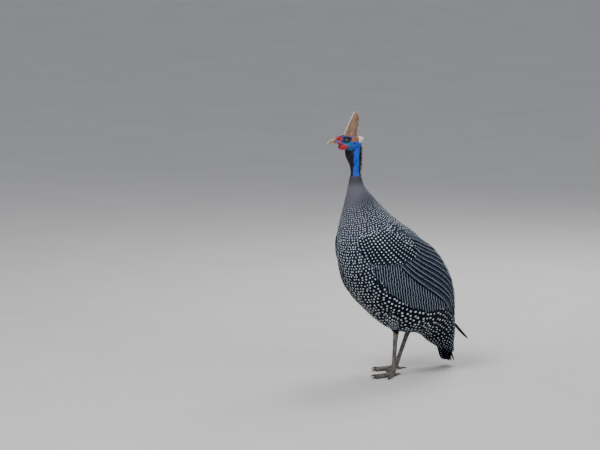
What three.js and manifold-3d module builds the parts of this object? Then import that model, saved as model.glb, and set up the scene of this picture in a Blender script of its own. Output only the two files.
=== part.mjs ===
// A helmeted guineafowl, life size, standing upright and alert with its head turned to its right.
// Units are millimetres. +Z is up, the body faces -Y, and +X is the bird's left. The floor is Z = 0.
import * as THREE from "three";
import { ParametricGeometry } from "three/addons/geometries/ParametricGeometry.js";
import { mergeVertices } from "three/addons/utils/BufferGeometryUtils.js";
import Module from "manifold-3d";

const wasm = await Module();
wasm.setup();

// Driving dimensions
const GAP = 0.3; // clearance between pieces that touch
const HEAD_TURN = THREE.MathUtils.degToRad(-36);
const HEAD_PLACE = new THREE.Vector3(0, -89, 431); // middle of the neck, level with the gape
const TOE_HEIGHT = 6.5; // middle of the foot's joint above the floor

// The trunk's sections from the throat to the rump. y and z place the middle, and side, back and front
// are half sizes. turn is the share of the head's turn that the section takes.
const TRUNK = [
  { y: -86, z: 433, side: 8.5, back: 7.5, front: 21, turn: 1 },
  { y: -88, z: 414, side: 10, back: 8.6, front: 20.5, turn: 1 },
  { y: -89, z: 395, side: 9.6, back: 8.4, front: 12, turn: 0.75 },
  { y: -90, z: 377, side: 9, back: 8.6, front: 9.2, turn: 0.35 },
  { y: -87, z: 350, side: 17, back: 16.5, front: 17.5, turn: 0 },
  { y: -79, z: 322, side: 31, back: 30.5, front: 32, turn: 0 },
  { y: -70, z: 295, side: 46, back: 45, front: 47, turn: 0 },
  { y: -60, z: 269, side: 59, back: 59.5, front: 61, turn: 0 },
  { y: -47, z: 243, side: 68, back: 71, front: 72, turn: 0 },
  { y: -30, z: 219, side: 73.5, back: 79, front: 79.5, turn: 0 },
  { y: -9, z: 196, side: 76.5, back: 82, front: 82.5, turn: 0 },
  { y: 15, z: 175, side: 77.5, back: 84, front: 84, turn: 0 },
  { y: 40, z: 155, side: 75.5, back: 81.5, front: 83, turn: 0 },
  { y: 66, z: 135, side: 67.5, back: 72.5, front: 76, turn: 0 },
  { y: 88, z: 114, side: 54, back: 56.5, front: 61, turn: 0 },
  { y: 106, z: 91, side: 40, back: 38.5, front: 44, turn: 0 },
  { y: 121, z: 65, side: 31, back: 25, front: 31, turn: 0 },
  { y: 135, z: 39, side: 22, back: 13, front: 18, turn: 0 },
  { y: 147, z: 14, side: 15, back: 6, front: 8, turn: 0 },
];
const COLLAR = 3; // the section where bare skin ends and feathers begin
const NECK_ROOT = 6.2; // the section where the neck is parted from the torso
const RUMP = 15.3; // the section where the torso ends

// The skull's sections from the nape to the bill, in the head's own frame: forward and up place the middle.
const SKULL = [
  { forward: -10.5, up: 6, side: 3, top: 4, base: 5 },
  { forward: -7, up: 6, side: 8, top: 9, base: 10 },
  { forward: 0, up: 6, side: 11.3, top: 13.2, base: 13 },
  { forward: 8, up: 6.5, side: 12.3, top: 14.2, base: 13.5 },
  { forward: 16, up: 7, side: 11.8, top: 14, base: 13 },
  { forward: 23, up: 7.3, side: 10, top: 12.4, base: 11.2 },
  { forward: 29, up: 8.2, side: 7.6, top: 9.8, base: 8.2 },
  { forward: 34, up: 9.4, side: 5.9, top: 6.9, base: 5.6 },
  { forward: 36, up: 9.6, side: 5.3, top: 6, base: 5 },
];
const EYE = { forward: 17.4, up: 10.8, out: 8.1, radius: 4.3 };
const LID = { radius: 4.3, roll: 0.95, out: 10.7 };
const EAR = { forward: 3, up: 5.5, out: 12.2, radius: 1.9, shape: [0.6, 0.8, 1] };
const SPUR = { size: [4.6, 9, 3.6], tilt: -0.72, place: [0, 5.5, 14.2] }; // behind the casque, on the nape
const WATTLE = { size: [2.1, 9.2, 5.2], turn: -0.34, tilt: 0.1, place: [10.2, -23.4, -1.6] };

// The casque's sections from the crown to its tip: half is its half length, thick its half thickness.
const CASQUE = [
  { forward: 10.8, up: 16, half: 12.6, thick: 8.2 },
  { forward: 9.6, up: 22, half: 11.6, thick: 7.2 },
  { forward: 8, up: 30, half: 10.3, thick: 6.3 },
  { forward: 4.6, up: 40, half: 9.5, thick: 5.4 },
  { forward: 1.2, up: 50, half: 8.1, thick: 4.6 },
  { forward: 0.2, up: 57.5, half: 5.6, thick: 3.6 },
  { forward: 0.6, up: 62, half: 2.6, thick: 2 },
];

// Each leg: the foot's joint, the hock, the knee, which is deep in the plumage, and the way to its inner
// toe. CUFF is how far from the hock to the knee the feathered shin begins, and HEADING turns the foot.
const LEGS = [
  { name: "left", foot: [27, -20], hock: [30, -17, 84], knee: [31, -38, 150], inward: -1 },
  { name: "right", foot: [-27, 33], hock: [-30, 70, 78], knee: [-31, 44, 130], inward: 1 },
];
const CUFF = { left: 0.06, right: -0.06 };
const HEADING = { left: 4, right: -6 };
const SHANK = { radii: [4.9, 4.2, 4.5, 5.8, 5.4], slimmest: 0.3, thicker: 0.72, narrow: 0.82 };
const SHIN_RADII = [7, 9.5, 15, 23];
const TOES = [
  { name: "inner", turn: 30, length: 34, radius: 3.3 },
  { name: "middle", turn: 0, length: 45, radius: 3.7 },
  { name: "outer", turn: -32, length: 36, radius: 3.3 },
  { name: "hind", turn: 172, length: 13, radius: 2.6 },
];

const COLOURS = {
  plumage: { color: 0x2a2c33, roughness: 0.85 },
  collar: { color: 0x5c5a66, roughness: 0.85 },
  blue_skin: { color: 0x2468c8, roughness: 0.55 },
  red_skin: { color: 0xb02a30, roughness: 0.5 },
  horn: { color: 0xa9825c, roughness: 0.6 },
  bill: { color: 0xb7a894, roughness: 0.45 },
  eye: { color: 0x2a1a12, roughness: 0.1 },
  scales: { color: 0x4a4644, roughness: 0.7 },
  claw: { color: 0x35302c, roughness: 0.5 },
};

// Solids

// A closed solid of a geometry whose seams and poles are merged, facing out.
function solid(geometry) {
  const bare = new THREE.BufferGeometry().setAttribute("position", geometry.getAttribute("position"));
  bare.setIndex(geometry.index);
  const merged = mergeVertices(bare, 1e-4);
  const vertProperties = merged.attributes.position.array;
  const kept = [];
  let volume = 0;
  for (let i = 0; i < merged.index.count; i += 3) {
    const [a, b, c] = merged.index.array.slice(i, i + 3);
    if (a === b || b === c || c === a) continue;
    kept.push([a, b, c]);
    const [p, q, r] = [a, b, c].map((n) => new THREE.Vector3().fromArray(vertProperties, 3 * n));
    volume += p.dot(q.cross(r));
  }
  const facing = volume < 0 ? kept.map(([a, b, c]) => [a, c, b]) : kept;
  const triVerts = new Uint32Array(facing.flat());
  return new wasm.Manifold(new wasm.Mesh({ numProp: 3, vertProperties, triVerts }));
}

// The mesh of a solid's largest closed surface, which drops loose scraps and fills sealed hollows.
function mesh(name, made, look) {
  const largest = made.decompose().reduce((a, b) => (b.volume() > a.volume() ? b : a));
  const { vertProperties, triVerts } = largest.getMesh();
  const geometry = new THREE.BufferGeometry();
  geometry.setAttribute("position", new THREE.BufferAttribute(vertProperties, 3));
  geometry.setIndex(new THREE.BufferAttribute(triVerts, 1));
  geometry.computeVertexNormals();
  const piece = new THREE.Mesh(geometry, new THREE.MeshStandardMaterial({ ...COLOURS[look], metalness: 0 }));
  piece.name = name;
  return piece;
}

// A closed sweep of rings: pointAt(t, angle) gives the skin and centreAt(t) the middle of each end's cap.
function sweep(pointAt, centreAt, sides, steps) {
  const surface = (u, v, target) => {
    const ring = Math.round(v * (steps + 2)) - 1;
    const t = THREE.MathUtils.clamp(ring / steps, 0, 1);
    const onCap = ring < 0 || ring > steps;
    target.copy(onCap ? centreAt(t) : pointAt(t, 2 * Math.PI * u));
  };
  return solid(new ParametricGeometry(surface, sides, steps + 2));
}

// A smooth function through the values of a row of sections, by section number.
function through(sections, read) {
  const points = sections.map((s) => new THREE.Vector3(...read(s)));
  const curve = new THREE.CatmullRomCurve3(points, false, "catmullrom");
  const last = sections.length - 1;
  return (n, target) => curve.getPoint(THREE.MathUtils.clamp(n / last, 0, 1), target);
}

// The trunk

const trunkMiddle = through(TRUNK, (s) => [0, s.y, s.z]);
const trunkSizes = through(TRUNK, (s) => [s.side, s.back, s.front]);
const trunkTurn = through(TRUNK, (s) => [s.turn, 0, 0]);

// The trunk's frame at section n: its middle, its way towards the tail, its left and its back.
function trunkFrame(n) {
  const middle = trunkMiddle(n);
  const along = trunkMiddle(n + 0.05).sub(trunkMiddle(n - 0.05)).normalize();
  const turn = HEAD_TURN * trunkTurn(n).x;
  const left = new THREE.Vector3(Math.cos(turn), Math.sin(turn), 0);
  const back = left.clone().cross(along).normalize();
  return { middle, along, left, back };
}

// A point on the trunk at section n. angle is 0 on the back and PI/2 on the left, and lift is outwards.
function trunkPoint(n, angle, lift = 0) {
  const { middle, left, back } = trunkFrame(n);
  const sizes = trunkSizes(n);
  const depth = Math.cos(angle) > 0 ? sizes.y : sizes.z;
  return middle
    .addScaledVector(left, (sizes.x + lift) * Math.sin(angle))
    .addScaledVector(back, (depth + lift) * Math.cos(angle));
}

function trunk(lift) {
  const last = TRUNK.length - 1;
  return sweep((t, angle) => trunkPoint(last * t, angle, lift), (t) => trunkMiddle(last * t), 32, 30);
}

const trunkSkin = trunk(0);
const trunkInflated = trunk(GAP);

// The part of a solid between two of the trunk's sections, parted from its neighbours by thin cuts.
function between(made, from, to) {
  const cut = (n, sign) => {
    const { middle, along } = trunkFrame(n);
    const normal = along.multiplyScalar(sign);
    return [normal.toArray(), normal.dot(middle) + GAP / 2];
  };
  const after = from === null ? made : made.trimByPlane(...cut(from, 1));
  return to === null ? after : after.trimByPlane(...cut(to, -1));
}

// The head, in its own frame: x is left, forward is -Y and up is Z

const skullMiddle = through(SKULL, (s) => [0, -s.forward, s.up]);
const skullSizes = through(SKULL, (s) => [s.side, s.top, s.base]);

function skullPoint(n, angle, lift = 0) {
  const sizes = skullSizes(n);
  const depth = Math.cos(angle) > 0 ? sizes.y : sizes.z;
  const x = (sizes.x + lift) * Math.sin(angle);
  return skullMiddle(n).add(new THREE.Vector3(x, 0, (depth + lift) * Math.cos(angle)));
}

function skull(lift) {
  const last = SKULL.length - 1;
  const caps = (t) => skullMiddle(last * t).add(new THREE.Vector3(0, (t > 0.5 ? -1 : 1) * lift, 0));
  const skin = (t, angle) => {
    const edge = t === 0 ? lift : t === 1 ? -lift : 0;
    return skullPoint(last * t, angle, lift).add(new THREE.Vector3(0, edge, 0));
  };
  return sweep(skin, caps, 20, 12);
}

// A ball on one side of the head, stretched by shape, with grow added to its radius.
function ball({ radius, out, forward, up, shape = [1, 1, 1] }, side, grow = 0) {
  const geometry = new THREE.SphereGeometry(radius + grow, 12, 8);
  geometry.scale(...shape).translate(side * out, -forward, up);
  return solid(geometry);
}

const headFrame = new THREE.Matrix4().makeRotationZ(HEAD_TURN).setPosition(HEAD_PLACE);
const skullInflated = skull(GAP);

// The plane that parts the red cere at the bill's root from the rest of the head.
const CERE = { forward: 25.5, up: 8, slope: 0.35 };
const NOSTRIL = { forward: 31.5, up: 12.4, out: 6.9, radius: 1, shape: [1.3, 2.2, 0.8] };
const MOUTH = [[37, 7.9, 5], [33, 7, 6.2], [29, 5.8, 7.8], [24.5, 3.4, 9.3]]; // forward, up, out
const MOUTH_RADII = [0.7, 0.7, 0.7, 0.4];

// The skull with all that is raised on it or sunk into it.
function face() {
  let made = skull(0);
  for (const side of [-1, 1]) {
    const lid = new THREE.TorusGeometry(LID.radius, LID.roll, 5, 12);
    lid.rotateY((side * Math.PI) / 2).translate(side * LID.out, -EYE.forward, EYE.up);
    const mouth = MOUTH.map(([forward, up, out]) => [side * out, -forward, up]);
    made = made.add(solid(lid));
    made = made.subtract(ball(EYE, side, GAP));
    made = made.subtract(ball(EAR, side)).subtract(ball(NOSTRIL, side));
    made = made.subtract(limb(mouth, MOUTH_RADII, 6, 5));
  }
  return made;
}

// The part of the face before or behind the cere's plane.
function faceSide(sign) {
  const normal = new THREE.Vector3(0, -1, -CERE.slope).normalize().multiplyScalar(sign);
  const on = new THREE.Vector3(0, -CERE.forward, CERE.up);
  return face().trimByPlane(normal.toArray(), normal.dot(on) + GAP / 2);
}

// The casque rises from the crown, with a low spur down the nape behind it.
function casque() {
  const middle = through(CASQUE, (s) => [0, -s.forward, s.up]);
  const sizes = through(CASQUE, (s) => [s.half, s.thick, 0]);
  const last = CASQUE.length - 1;
  const skin = (t, angle) => {
    const { x: half, y: thick } = sizes(last * t);
    return middle(last * t).add(new THREE.Vector3(thick * Math.sin(angle), half * Math.cos(angle), 0));
  };
  const tip = (t) => middle(last * t).add(new THREE.Vector3(0, 0, t));
  const blade = sweep(skin, tip, 12, 9);
  const spur = new THREE.SphereGeometry(1, 12, 8).scale(...SPUR.size);
  spur.rotateX(SPUR.tilt).translate(...SPUR.place);
  return blade.add(solid(spur)).subtract(skullInflated);
}

// The bill: an upper half that hooks down over the shorter lower one.
const BILL_ROOT = 36.4;
const UPPER = [
  { forward: BILL_ROOT, top: 15.4, edge: 8.1, side: 5.2 },
  { forward: 41, top: 14.2, edge: 7.5, side: 4.3 },
  { forward: 46, top: 11.8, edge: 6.3, side: 3.2 },
  { forward: 50.5, top: 8.2, edge: 4.4, side: 1.9 },
  { forward: 53.2, top: 4.6, edge: 3.2, side: 0.6 },
];
const LOWER = [
  { forward: BILL_ROOT, top: 7.7, edge: 4.4, side: 4.7 },
  { forward: 41, top: 7.1, edge: 3.4, side: 3.9 },
  { forward: 45.5, top: 6, edge: 3, side: 2.8 },
  { forward: 49, top: 4.5, edge: 3.2, side: 1.2 },
];

function bill(sections) {
  const middle = through(sections, (s) => [0, -s.forward, (s.top + s.edge) / 2]);
  const sizes = through(sections, (s) => [s.side, (s.top - s.edge) / 2, 0]);
  const last = sections.length - 1;
  const skin = (t, angle) => {
    const { x: side, y: half } = sizes(last * t);
    return middle(last * t).add(new THREE.Vector3(side * Math.sin(angle), 0, half * Math.cos(angle)));
  };
  return sweep(skin, (t) => middle(last * t), 12, 6);
}

// A fleshy lobe that hangs back and out from the corner of the mouth.
function wattle(side) {
  const [out, ...place] = WATTLE.place;
  const lobe = new THREE.SphereGeometry(1, 12, 8).scale(...WATTLE.size);
  lobe.rotateZ(side * WATTLE.turn).rotateX(WATTLE.tilt).translate(side * out, ...place);
  return solid(lobe).subtract(skullInflated);
}

// Wings

// A thin closed sheet. pointAt takes 0..1 along, -1..1 across, and 1 for its outside or 0 for its inside.
function sheet(pointAt, steps, lanes) {
  const layer = (steps + 1) * (lanes + 1);
  const id = (face, i, j) => (1 - face) * layer + i * (lanes + 1) + j;
  const positions = [];
  for (const face of [1, 0])
    for (let i = 0; i <= steps; i++)
      for (let j = 0; j <= lanes; j++)
        positions.push(...pointAt(i / steps, (2 * j) / lanes - 1, face).toArray());
  const index = [];
  const quad = (a, b, c, d) => index.push(a, b, c, a, c, d);
  for (let i = 0; i < steps; i++) {
    for (let j = 0; j < lanes; j++) {
      quad(id(1, i, j), id(1, i + 1, j), id(1, i + 1, j + 1), id(1, i, j + 1));
      quad(id(0, i, j), id(0, i, j + 1), id(0, i + 1, j + 1), id(0, i + 1, j));
    }
    quad(id(1, i + 1, 0), id(1, i, 0), id(0, i, 0), id(0, i + 1, 0));
    quad(id(1, i, lanes), id(1, i + 1, lanes), id(0, i + 1, lanes), id(0, i, lanes));
  }
  for (let j = 0; j < lanes; j++) {
    quad(id(1, 0, j), id(1, 0, j + 1), id(0, 0, j + 1), id(0, 0, j));
    quad(id(1, steps, j + 1), id(1, steps, j), id(0, steps, j), id(0, steps, j + 1));
  }
  const geometry = new THREE.BufferGeometry();
  geometry.setAttribute("position", new THREE.Float32BufferAttribute(positions, 3));
  geometry.setIndex(index);
  return solid(geometry);
}

// sunk is the share of a feather that rises out of its bed, and tilt is in mm for each radian off its
// middle.
const VANE = { thick: 0.6, steps: 4, lanes: 2, sunk: 0.36, tilt: 13 };

// The share of a feather's length at the share u of its steps, which are finer towards the tip.
const finer = (u) => 1 - (1 - u) ** 1.6;

// How wide a feather is along its length, as a share of its full width: a narrow root and a round tip.
function outline(along) {
  const tip = Math.max(0, (along - 0.7) / 0.3);
  return Math.min(1, 0.5 + 1.5 * along) * Math.sqrt(1 - 0.97 * tip * tip);
}

// A feather that lies along the trunk. root and tip are each a section and an angle, and rise gives their
// heights. tilt lifts the edge at the larger angle, so that it covers the near edge of the next feather.
function vane({ root, tip, width, rise, tilt }) {
  const shape = (u, across, face) => {
    const along = finer(u);
    const n = THREE.MathUtils.lerp(root[0], tip[0], along);
    const offset = (across * width * outline(along)) / 2;
    const turn = offset / trunkSizes(n).x;
    const angle = THREE.MathUtils.lerp(root[1], tip[1], along) + turn;
    const height = THREE.MathUtils.lerp(...rise, Math.min(1, along / VANE.sunk)) + tilt * turn;
    return trunkPoint(n, angle, height + face * VANE.thick);
  };
  return sheet(shape, VANE.steps, VANE.lanes);
}

// The folded wing lies along a line that climbs from the trunk's side at the shoulder to the back at the
// tips. spread is an angle from that line, in degrees, positive downwards.
const WING_LINE = { section: 7.5, angle: 100, climb: 6.3 };
const wingAngle = (n, spread) =>
  THREE.MathUtils.degToRad(WING_LINE.angle - WING_LINE.climb * (n - WING_LINE.section) + spread);

// The bed that the feathers grow from. top and bottom are its edges' spread at its front and rear.
const WING_BED = { from: 6.3, to: 11.4, top: [-46, -50], bottom: [16, 42], rise: [0.5, 1.1], sunk: 2 };

// The wing's tiers from the lowest layer up: the first and last feather's spread at their roots and at
// their tips, the sections of the roots and of each tip, and how far they stand off the trunk.
const WING_TIERS = [
  { roots: [20, 8], spread: [20, 8], root: 10.6, tips: [14.9, 15.1], width: 18, top: 1.2 },
  { roots: [34, -4], spread: [40, 2], root: 8.4, tips: [12.9, 13.6, 14.1, 14.5, 14.6], width: 21, top: 3 },
  { roots: [-14, -36], spread: [-8, -45], root: 7, tips: [14, 13.6, 12.8, 11.6], width: 24, top: 3.8 },
  { roots: [10, -20], spread: [34, -8], root: 6.6, tips: [8.9, 9.3, 9.6, 9.6, 9.5], width: 24, top: 4.8 },
];
const ROOT_HEIGHT = -0.4;

function wing(side) {
  const bed = (along, across, face) => {
    const n = THREE.MathUtils.lerp(WING_BED.from, WING_BED.to, along);
    const top = THREE.MathUtils.lerp(...WING_BED.top, along);
    const bottom = THREE.MathUtils.lerp(...WING_BED.bottom, Math.min(1, 1.6 * along));
    const round = Math.sqrt(Math.sin(Math.PI * (0.2 + 0.62 * along)));
    const angle = wingAngle(n, (top + bottom) / 2 + (across * round * (bottom - top)) / 2);
    const height = THREE.MathUtils.lerp(...WING_BED.rise, (1 - across ** 4) * Math.sin(Math.PI * along));
    return trunkPoint(n, angle, face ? height : -WING_BED.sunk);
  };
  let made = sheet(bed, 6, 5);
  for (const { roots, spread, root, tips, width, top } of WING_TIERS)
    tips.forEach((tip, i) => {
      const share = i / (tips.length - 1);
      const from = [root, wingAngle(root, THREE.MathUtils.lerp(...roots, share))];
      const to = [tip, wingAngle(tip, THREE.MathUtils.lerp(...spread, share))];
      const rise = [ROOT_HEIGHT, top];
      made = made.add(vane({ root: from, tip: to, width, rise, tilt: VANE.tilt }));
    });
  return (side > 0 ? made : made.mirror([1, 0, 0])).subtract(trunkInflated);
}

// The tail

const TAIL_CORE_END = 17.1;
const COVERTS = { root: 15.4, width: 18, rise: [-0.8, 1.1] };
const UPPER_COVERTS = [[-58, 17.2], [58, 17.2], [-32, 17.5], [32, 17.5], [0, 17.7]];
const UNDER_COVERTS = [[-118, 17.2], [118, 17.2], [-148, 17.5], [148, 17.5], [180, 17.7]];
// The tail feathers lie in pairs like nested roofs, the middle pair on top.
const RECTRICES = { pairs: 5, root: 15.9, tip: 18, reach: 1.09, width: 17, slope: [28, 8] };
const NESTING = { top: 5.5, step: 1.2, shorter: 2.2 }; // how each pair lies below the last, and is shorter
// One wing tip stands clear of the rump on the left.
const STRAY = { from: [22, 130, 87], to: [20, 172, 49], width: 9, roll: 0.9 };

function rectrix(pair, side) {
  const { middle, along, back } = trunkFrame(RECTRICES.root);
  const end = trunkMiddle(RECTRICES.tip);
  const way = end.clone().sub(middle).normalize();
  const length = RECTRICES.reach * end.distanceTo(middle) - NESTING.shorter * pair;
  const slope = THREE.MathUtils.degToRad(RECTRICES.slope[0] + RECTRICES.slope[1] * pair);
  const lift = back.addScaledVector(way, -back.dot(way)).normalize();
  const down = new THREE.Vector3(side * Math.cos(slope), 0, 0).addScaledVector(lift, -Math.sin(slope));
  const up = new THREE.Vector3(side * Math.sin(slope), 0, 0).addScaledVector(lift, Math.cos(slope));
  const shape = (u, across, face) => {
    const t = finer(u);
    const out = 0.4 + (RECTRICES.width * (1 + across * outline(t))) / 2;
    const ridge = middle.clone().addScaledVector(way, length * t);
    ridge.addScaledVector(lift, NESTING.top * (1 - 0.6 * t) - NESTING.step * pair);
    return ridge.addScaledVector(down, out).addScaledVector(up, (face - 0.5) * VANE.thick);
  };
  return sheet(shape, VANE.steps, VANE.lanes);
}

function stray() {
  const from = new THREE.Vector3(...STRAY.from);
  const to = new THREE.Vector3(...STRAY.to);
  const way = to.clone().sub(from).normalize();
  const left = new THREE.Vector3(1, 0, 0).addScaledVector(way, -way.x).normalize();
  left.applyAxisAngle(way, STRAY.roll);
  const up = way.clone().cross(left);
  const shape = (u, across, face) => {
    const t = finer(u);
    const offset = (across * STRAY.width * outline(t) * (1 - 0.5 * t)) / 2;
    return from.clone().lerp(to, t).addScaledVector(left, offset).addScaledVector(up, face * VANE.thick);
  };
  return sheet(shape, VANE.steps, VANE.lanes);
}

function tail() {
  let made = between(trunkSkin, RUMP, TAIL_CORE_END);
  for (const [spread, tip] of [...UPPER_COVERTS, ...UNDER_COVERTS]) {
    const angle = THREE.MathUtils.degToRad(spread);
    const tilt = (Math.abs(spread) < 90 ? 1 : -1) * Math.sign(spread) * VANE.tilt;
    made = made.add(vane({ ...COVERTS, root: [COVERTS.root, angle], tip: [tip, angle], tilt }));
  }
  for (let pair = 0; pair < RECTRICES.pairs; pair++)
    for (const side of [-1, 1]) made = made.add(rectrix(pair, side));
  return made.add(stray());
}

// Legs

// A round limb through points, with a radius at each. narrow is its width as a share of its depth.
function limb(points, radii, sides, steps, narrow = 1) {
  const stops = points.map((p) => new THREE.Vector3(...p));
  const line = new THREE.CatmullRomCurve3(stops, false, "catmullrom");
  const size = through(radii, (r) => [r, 0, 0]);
  const skin = (t, angle) => {
    const way = line.getTangent(t);
    const left = new THREE.Vector3(1, 0, 0).addScaledVector(way, -way.x).normalize();
    const back = left.clone().cross(way);
    const r = size(t * (radii.length - 1)).x;
    const edge = line.getPoint(t).addScaledVector(left, r * narrow * Math.sin(angle));
    return edge.addScaledVector(back, r * Math.cos(angle));
  };
  return sweep(skin, (t) => line.getPoint(t), sides, steps);
}

const mix = (a, b, share) => a.map((v, i) => v + (b[i] - v) * share);

// The scaly shank from the foot's joint to just past the hock.
function shank(leg, grow = 0) {
  const low = [leg.foot[0], leg.foot[1], TOE_HEIGHT];
  const middle = [SHANK.slimmest, SHANK.thicker].map((share) => mix(low, leg.hock, share));
  const points = [low, ...middle, leg.hock, mix(leg.hock, leg.knee, 0.3)];
  return limb(points, SHANK.radii.map((r) => r + grow), 12, 9, SHANK.narrow);
}

// The feathered shin, a cuff round the top of the shank that widens up into the belly.
function shin(leg) {
  const start = mix(leg.hock, leg.knee, CUFF[leg.name]);
  const points = [0, 0.15, 0.4, 1].map((share) => mix(start, leg.knee, share));
  return limb(points, SHIN_RADII, 16, 6);
}

// A point of a toe: out from the foot's joint along the floor, and up from it.
function toePoint(leg, toe, out, up) {
  const way = THREE.MathUtils.degToRad(HEADING[leg.name] + leg.inward * toe.turn);
  return [leg.foot[0] + out * Math.sin(way), leg.foot[1] - out * Math.cos(way), up];
}

// A toe from the joint to its claw. grow makes it larger all round, for what is cut clear of it.
function toe(leg, shape, grow = 0) {
  const { length, radius } = shape;
  const ups = [TOE_HEIGHT, radius + 0.6, radius - 0.6, radius - 0.9];
  const points = [0, 0.35, 0.7, 1].map((share, i) => toePoint(leg, shape, length * share, ups[i]));
  const radii = [4.6, radius * 1.05, radius, radius * 0.8].map((r) => r + grow);
  return limb(points, radii, 8, 6);
}

function claw(leg, shape) {
  const { length, radius } = shape;
  const points = [[length - 3, radius - 0.6], [length + 4, radius - 0.6], [length + 10, 1]];
  const radii = [radius * 0.6, radius * 0.5, 0.5];
  const made = limb(points.map(([out, up]) => toePoint(leg, shape, out, up)), radii, 6, 3);
  return made.subtract(toe(leg, shape, GAP));
}

const FLOOR = [[0, 0, 1], 0];

function legPieces(leg) {
  const pieces = [];
  const upper = shank(leg).subtract(trunkInflated);
  pieces.push(mesh(`shank_${leg.name}`, upper, "scales"));
  const cuff = shin(leg).subtract(trunkInflated).subtract(shank(leg, GAP));
  pieces.push(mesh(`shin_${leg.name}`, cuff, "plumage"));
  const toes = TOES.map((shape) => toe(leg, shape)).reduce((a, b) => a.add(b));
  pieces.push(mesh(`foot_${leg.name}`, toes.subtract(shank(leg, GAP)).trimByPlane(...FLOOR), "scales"));
  for (const shape of TOES) {
    const nail = claw(leg, shape).trimByPlane(...FLOOR);
    pieces.push(mesh(`claw_${leg.name}_${shape.name}`, nail, "claw"));
  }
  return pieces;
}

// The whole bird

const bird = new THREE.Group();
const skullWorld = skullInflated.transform(headFrame.toArray());
bird.add(mesh("neck_bare", between(trunkSkin, null, COLLAR).subtract(skullWorld), "blue_skin"));
bird.add(mesh("neck_feathered", between(trunkSkin, COLLAR, NECK_ROOT), "collar"));
bird.add(mesh("torso", between(trunkSkin, NECK_ROOT, RUMP), "plumage"));
bird.add(mesh("tail", tail(), "plumage"));

const headGroup = new THREE.Group();
headGroup.position.copy(HEAD_PLACE);
headGroup.rotation.z = HEAD_TURN;
headGroup.add(mesh("head", faceSide(-1), "blue_skin"));
headGroup.add(mesh("cere", faceSide(1), "red_skin"));
headGroup.add(mesh("casque", casque(), "horn"));
headGroup.add(mesh("bill_upper", bill(UPPER), "bill"));
headGroup.add(mesh("bill_lower", bill(LOWER), "bill"));
for (const [name, side] of [["left", 1], ["right", -1]]) {
  headGroup.add(mesh(`eye_${name}`, ball(EYE, side), "eye"));
  headGroup.add(mesh(`wattle_${name}`, wattle(side), "red_skin"));
  bird.add(mesh(`wing_${name}`, wing(side), "plumage"));
}
bird.add(headGroup);
for (const leg of LEGS) bird.add(...legPieces(leg));

// The part's origin is the middle of its box, on the floor.
bird.updateMatrixWorld(true);
const box = new THREE.Box3().setFromObject(bird, true);
const shift = new THREE.Vector3((box.min.x + box.max.x) / 2, (box.min.y + box.max.y) / 2, box.min.z).negate();
for (const piece of bird.children) piece.position.add(shift);

export default bird;
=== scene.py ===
"""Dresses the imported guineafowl: one skin under a coat of mesh feathers, with a bare head and scaly legs.

Lengths are in the solids' millimetres until the last moment, when mm() turns them into metres.
The bird faces -Y, its left is +X, and the floor is z = 0.
"""

import math

import bpy
import numpy as np
from mathutils import Matrix, Vector


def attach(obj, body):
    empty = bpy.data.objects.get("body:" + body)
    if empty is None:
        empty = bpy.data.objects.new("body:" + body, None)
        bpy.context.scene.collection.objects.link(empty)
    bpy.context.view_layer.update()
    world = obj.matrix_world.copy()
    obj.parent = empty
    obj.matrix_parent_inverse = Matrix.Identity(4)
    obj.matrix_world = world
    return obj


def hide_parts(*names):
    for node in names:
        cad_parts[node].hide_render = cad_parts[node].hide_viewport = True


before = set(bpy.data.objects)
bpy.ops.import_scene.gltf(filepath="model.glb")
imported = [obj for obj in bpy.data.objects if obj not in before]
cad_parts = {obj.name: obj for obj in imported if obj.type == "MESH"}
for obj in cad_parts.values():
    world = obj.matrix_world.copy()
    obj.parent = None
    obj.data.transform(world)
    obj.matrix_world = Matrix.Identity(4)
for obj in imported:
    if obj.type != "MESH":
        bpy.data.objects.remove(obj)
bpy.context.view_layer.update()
DRAW = np.random.default_rng(7)
TURN = 2 * math.pi
SIDES = ((1, "left"), (-1, "right"))
LEFT = np.array([1.0, 0.0, 0.0])
SHIFT = np.array([0.0, -19.903, 0.0])  # the solids' own move to the middle of their box


def sections(*rows):
    return np.array(rows, float)


# The trunk's sections, as in the solids: y, z, side, back, front and the share of the head's turn
TRUNK = sections(
    [-86, 433, 8.5, 7.5, 21, 1], [-88, 414, 10, 8.6, 20.5, 1], [-89, 395, 9.6, 8.4, 12, 0.75],
    [-90, 377, 9, 8.6, 9.2, 0.35], [-87, 350, 17, 16.5, 17.5, 0], [-79, 322, 31, 30.5, 32, 0],
    [-70, 295, 46, 45, 47, 0], [-60, 269, 59, 59.5, 61, 0], [-47, 243, 68, 71, 72, 0],
    [-30, 219, 73.5, 79, 79.5, 0], [-9, 196, 76.5, 82, 82.5, 0], [15, 175, 77.5, 84, 84, 0],
    [40, 155, 75.5, 81.5, 83, 0], [66, 135, 67.5, 72.5, 76, 0], [88, 114, 54, 56.5, 61, 0],
    [106, 91, 40, 38.5, 44, 0], [121, 65, 31, 25, 31, 0], [135, 39, 22, 13, 18, 0],
    [147, 14, 15, 6, 8, 0],
)
LAST = len(TRUNK) - 1
HEAD_TURN = math.radians(-36)
HEAD_PLACE = np.array([0.0, -89.0, 431.0]) + SHIFT


def mm(points):
    """Metres from millimetres."""
    return np.asarray(points) / 1000


def unit(vectors):
    return vectors / np.linalg.norm(vectors, axis=-1, keepdims=True)


def stacked(*parts):
    """Arrays spread over each other's shape, as the last axis of one array."""
    return np.stack(np.broadcast_arrays(*parts), -1)


def smooth(low, high, x):
    """A soft step from 0 at low to 1 at high. low may be the larger one."""
    t = np.clip((np.asarray(x, float) - low) / (high - low), 0, 1)
    return t * t * (3 - 2 * t)


def fade(n, table):
    """Straight between the pairs of a table."""
    return np.interp(n, *zip(*table))


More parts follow.
